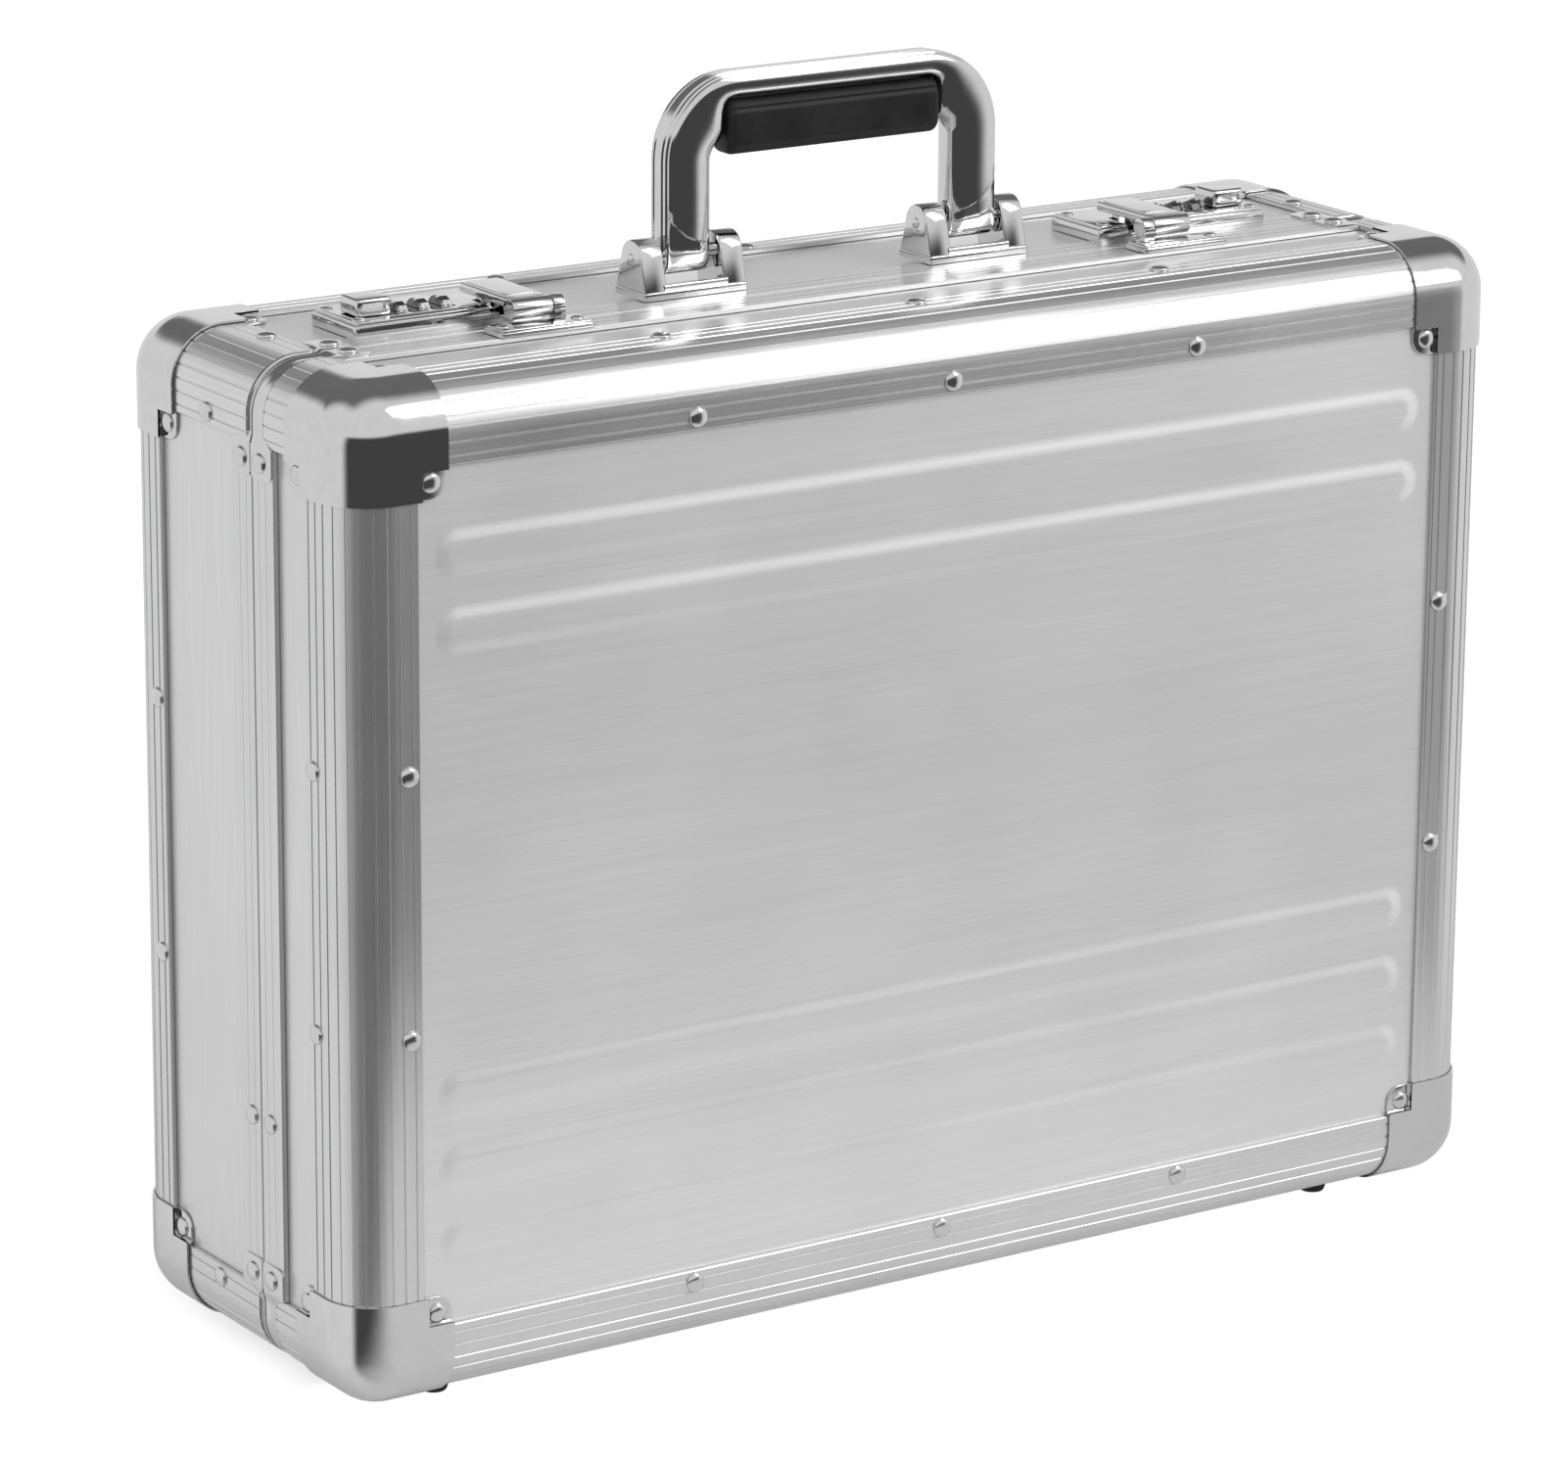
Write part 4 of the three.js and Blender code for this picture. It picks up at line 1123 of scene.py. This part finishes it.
def add_camera():
    data = configure(bpy.data.cameras.new("camera"), sensor_width=36, lens=155.5, shift_x=-0.0249,
                     shift_y=0.0182, clip_start=0.05, clip_end=50)
    camera = add_object("camera", data)
    a, e = CAMERA_AZIMUTH, CAMERA_ELEVATION
    back = Vector((sin(a) * cos(e), -cos(a) * cos(e), sin(e)))
    right = Vector((0, 0, 1)).cross(back).normalized()
    up = back.cross(right)
    c, s = cos(CAMERA_ROLL), sin(CAMERA_ROLL)
    columns = (c * right + s * up, c * up - s * right, back)
    camera.matrix_world = Matrix.Translation(CAMERA_PLACE) @ Matrix(columns).transposed().to_4x4()
    scene.camera = camera


def add_world():
    """A pale tent, white for the camera, with a dim zone on the camera's side and a dim ceiling."""
    scene.world = bpy.data.worlds.new("studio")
    scene.world.use_nodes = True
    nodes = Nodes(scene.world.node_tree)
    direction = nodes.add("TexCoord", output="Generated")

    def toward(vector, *levels):
        """A smooth step over how far a direction points towards a vector."""
        dot = nodes.add("VectorMath", {0: direction, 1: vector}, "Value", operation="DOT_PRODUCT")
        return nodes.ease(dot, *levels)

    right, rear, up = (1, 0, 0), (0, 1, 0), (0, 0, 1)
    dark_side = nodes.math("MULTIPLY", toward(DARK_SIDE, 0, 0.77, 0.45, 0.68), toward(up, 1, 0, 0.09, 0.2))
    ceiling = nodes.math("MULTIPLY", toward(up, 0, 0.66, 0.36, 0.48), toward(right, 0, 1, -0.65, -0.35))
    ceiling = nodes.math("MULTIPLY", ceiling, toward(rear, 0, 1, -0.35, 0.05))
    tent = nodes.math("SUBTRACT", TENT_LEVEL, nodes.math("ADD", dark_side, ceiling))
    tent = nodes.math("MAXIMUM", tent, TENT_LOWEST)
    seen = nodes.math("MAXIMUM", tent, nodes.add("LightPath", output="Is Camera Ray"))
    nodes.feed(scene.world.node_tree.nodes["Background"], {"Color": (1, 1, 1, 1), "Strength": seen})


def add_light(name, place, target, size, power):
    data = configure(bpy.data.lights.new(name, "AREA"), shape="RECTANGLE", energy=power)
    data.size, data.size_y = size
    turn = (Vector(target) - Vector(place)).to_track_quat("-Z", "Y")
    return configure(add_object(name, data), location=place, rotation_mode="QUATERNION",
                     rotation_quaternion=turn)


def floor_material():
    """White, with the case's shadow. It is open where the lid swings down, and in reflections it
    shows only near the case and to its right."""
    material = bpy.data.materials.new("floor_white")
    material.use_nodes = True
    nodes = Nodes(material.node_tree)
    nodes.tree.nodes.remove(nodes.tree.nodes["Principled BSDF"])
    path = nodes.add("LightPath").node.outputs
    diffuse = nodes.add("BsdfDiffuse", {"Color": (*grey(FLOOR_GREY), 1)})
    both = nodes.add("AddShader", {0: diffuse, 1: nodes.add("Emission", {"Strength": FLOOR_GLOW})})
    lit = nodes.add("MixShader", {0: path["Is Camera Ray"], 1: diffuse, 2: both})
    position = nodes.add("NewGeometry", output="Position")
    place = nodes.add("SeparateXYZ", {0: position}).node.outputs
    reach_x = HALF_WIDTH + OPENING_BESIDE
    beside = nodes.ease(nodes.math("ABSOLUTE", place["X"]), 1.0, 0.0, reach_x, reach_x + OPENING_FADE)
    front = nodes.ease(place["Y"], 1.0, 0.0, PARTING - 0.01, PARTING)
    from_middle = nodes.add("VectorMath", {0: position}, "Value", operation="LENGTH")
    far = nodes.ease(from_middle, 0.0, 1.0, 0.30, 0.60)
    left = nodes.ease(place["X"], 1.0, 0.0, -0.30, -0.20)
    glossy = path["Is Glossy Ray"]
    seen_open = nodes.math("MULTIPLY", beside, front)
    seen_open = nodes.math("MULTIPLY", seen_open, nodes.math("SUBTRACT", 1.0, glossy))
    reflected_open = nodes.math("MULTIPLY", nodes.math("MAXIMUM", far, left), glossy)
    is_open = nodes.math("MAXIMUM", seen_open, reflected_open)
    result = nodes.add("MixShader", {0: is_open, 1: lit, 2: nodes.add("BsdfTransparent")})
    nodes.feed(nodes.tree.nodes["Material Output"], {"Surface": result})
    return material


def add_floor():
    mesh = bmesh.new()
    bmesh.ops.create_grid(mesh, x_segments=1, y_segments=1, size=FLOOR_SIZE)
    floor = new_object("floor", mesh)
    floor.data.materials.append(floor_material())


def add_studio():
    add_world()
    add_floor()
    add_light("overhead", (1.15, -1.35, 1.55), (0, -0.07, 0.33), (0.7, 1.5), 12)
    fill = add_light("fill", (-1.6, -2.4, 1.4), (0, 0, 0.2), (1.5, 1.5), 32)
    fill.visible_glossy = False
    scene.view_settings.view_transform = "Standard"


# ---- put together

add_camera()
add_studio()
for shell in (LID, BASE):
    pressed_panel(shell)
    edge_extrusion(shell)
    rim_extrusion(shell)
    lining(shell)
    for index, (side_x, side_z, where) in enumerate(CORNERS):
        corner_extrusion(shell, side_x, side_z, where)
        corner_cap(shell, side_x, side_z, where)
        rim_clip(shell, index, where)
    rivets(shell)
    for where in SIDES.values():
        foot(shell, where)
handle_frame()
handle_grip()
for side in SIDES:
    handle_bracket(side)
    lock_plate(side)
    for index in DIALS:
        lock_dial(side, index)
    lock_slider(side)
    hasp(side)
    hasp_plate(side)
soften_kept_nodes()
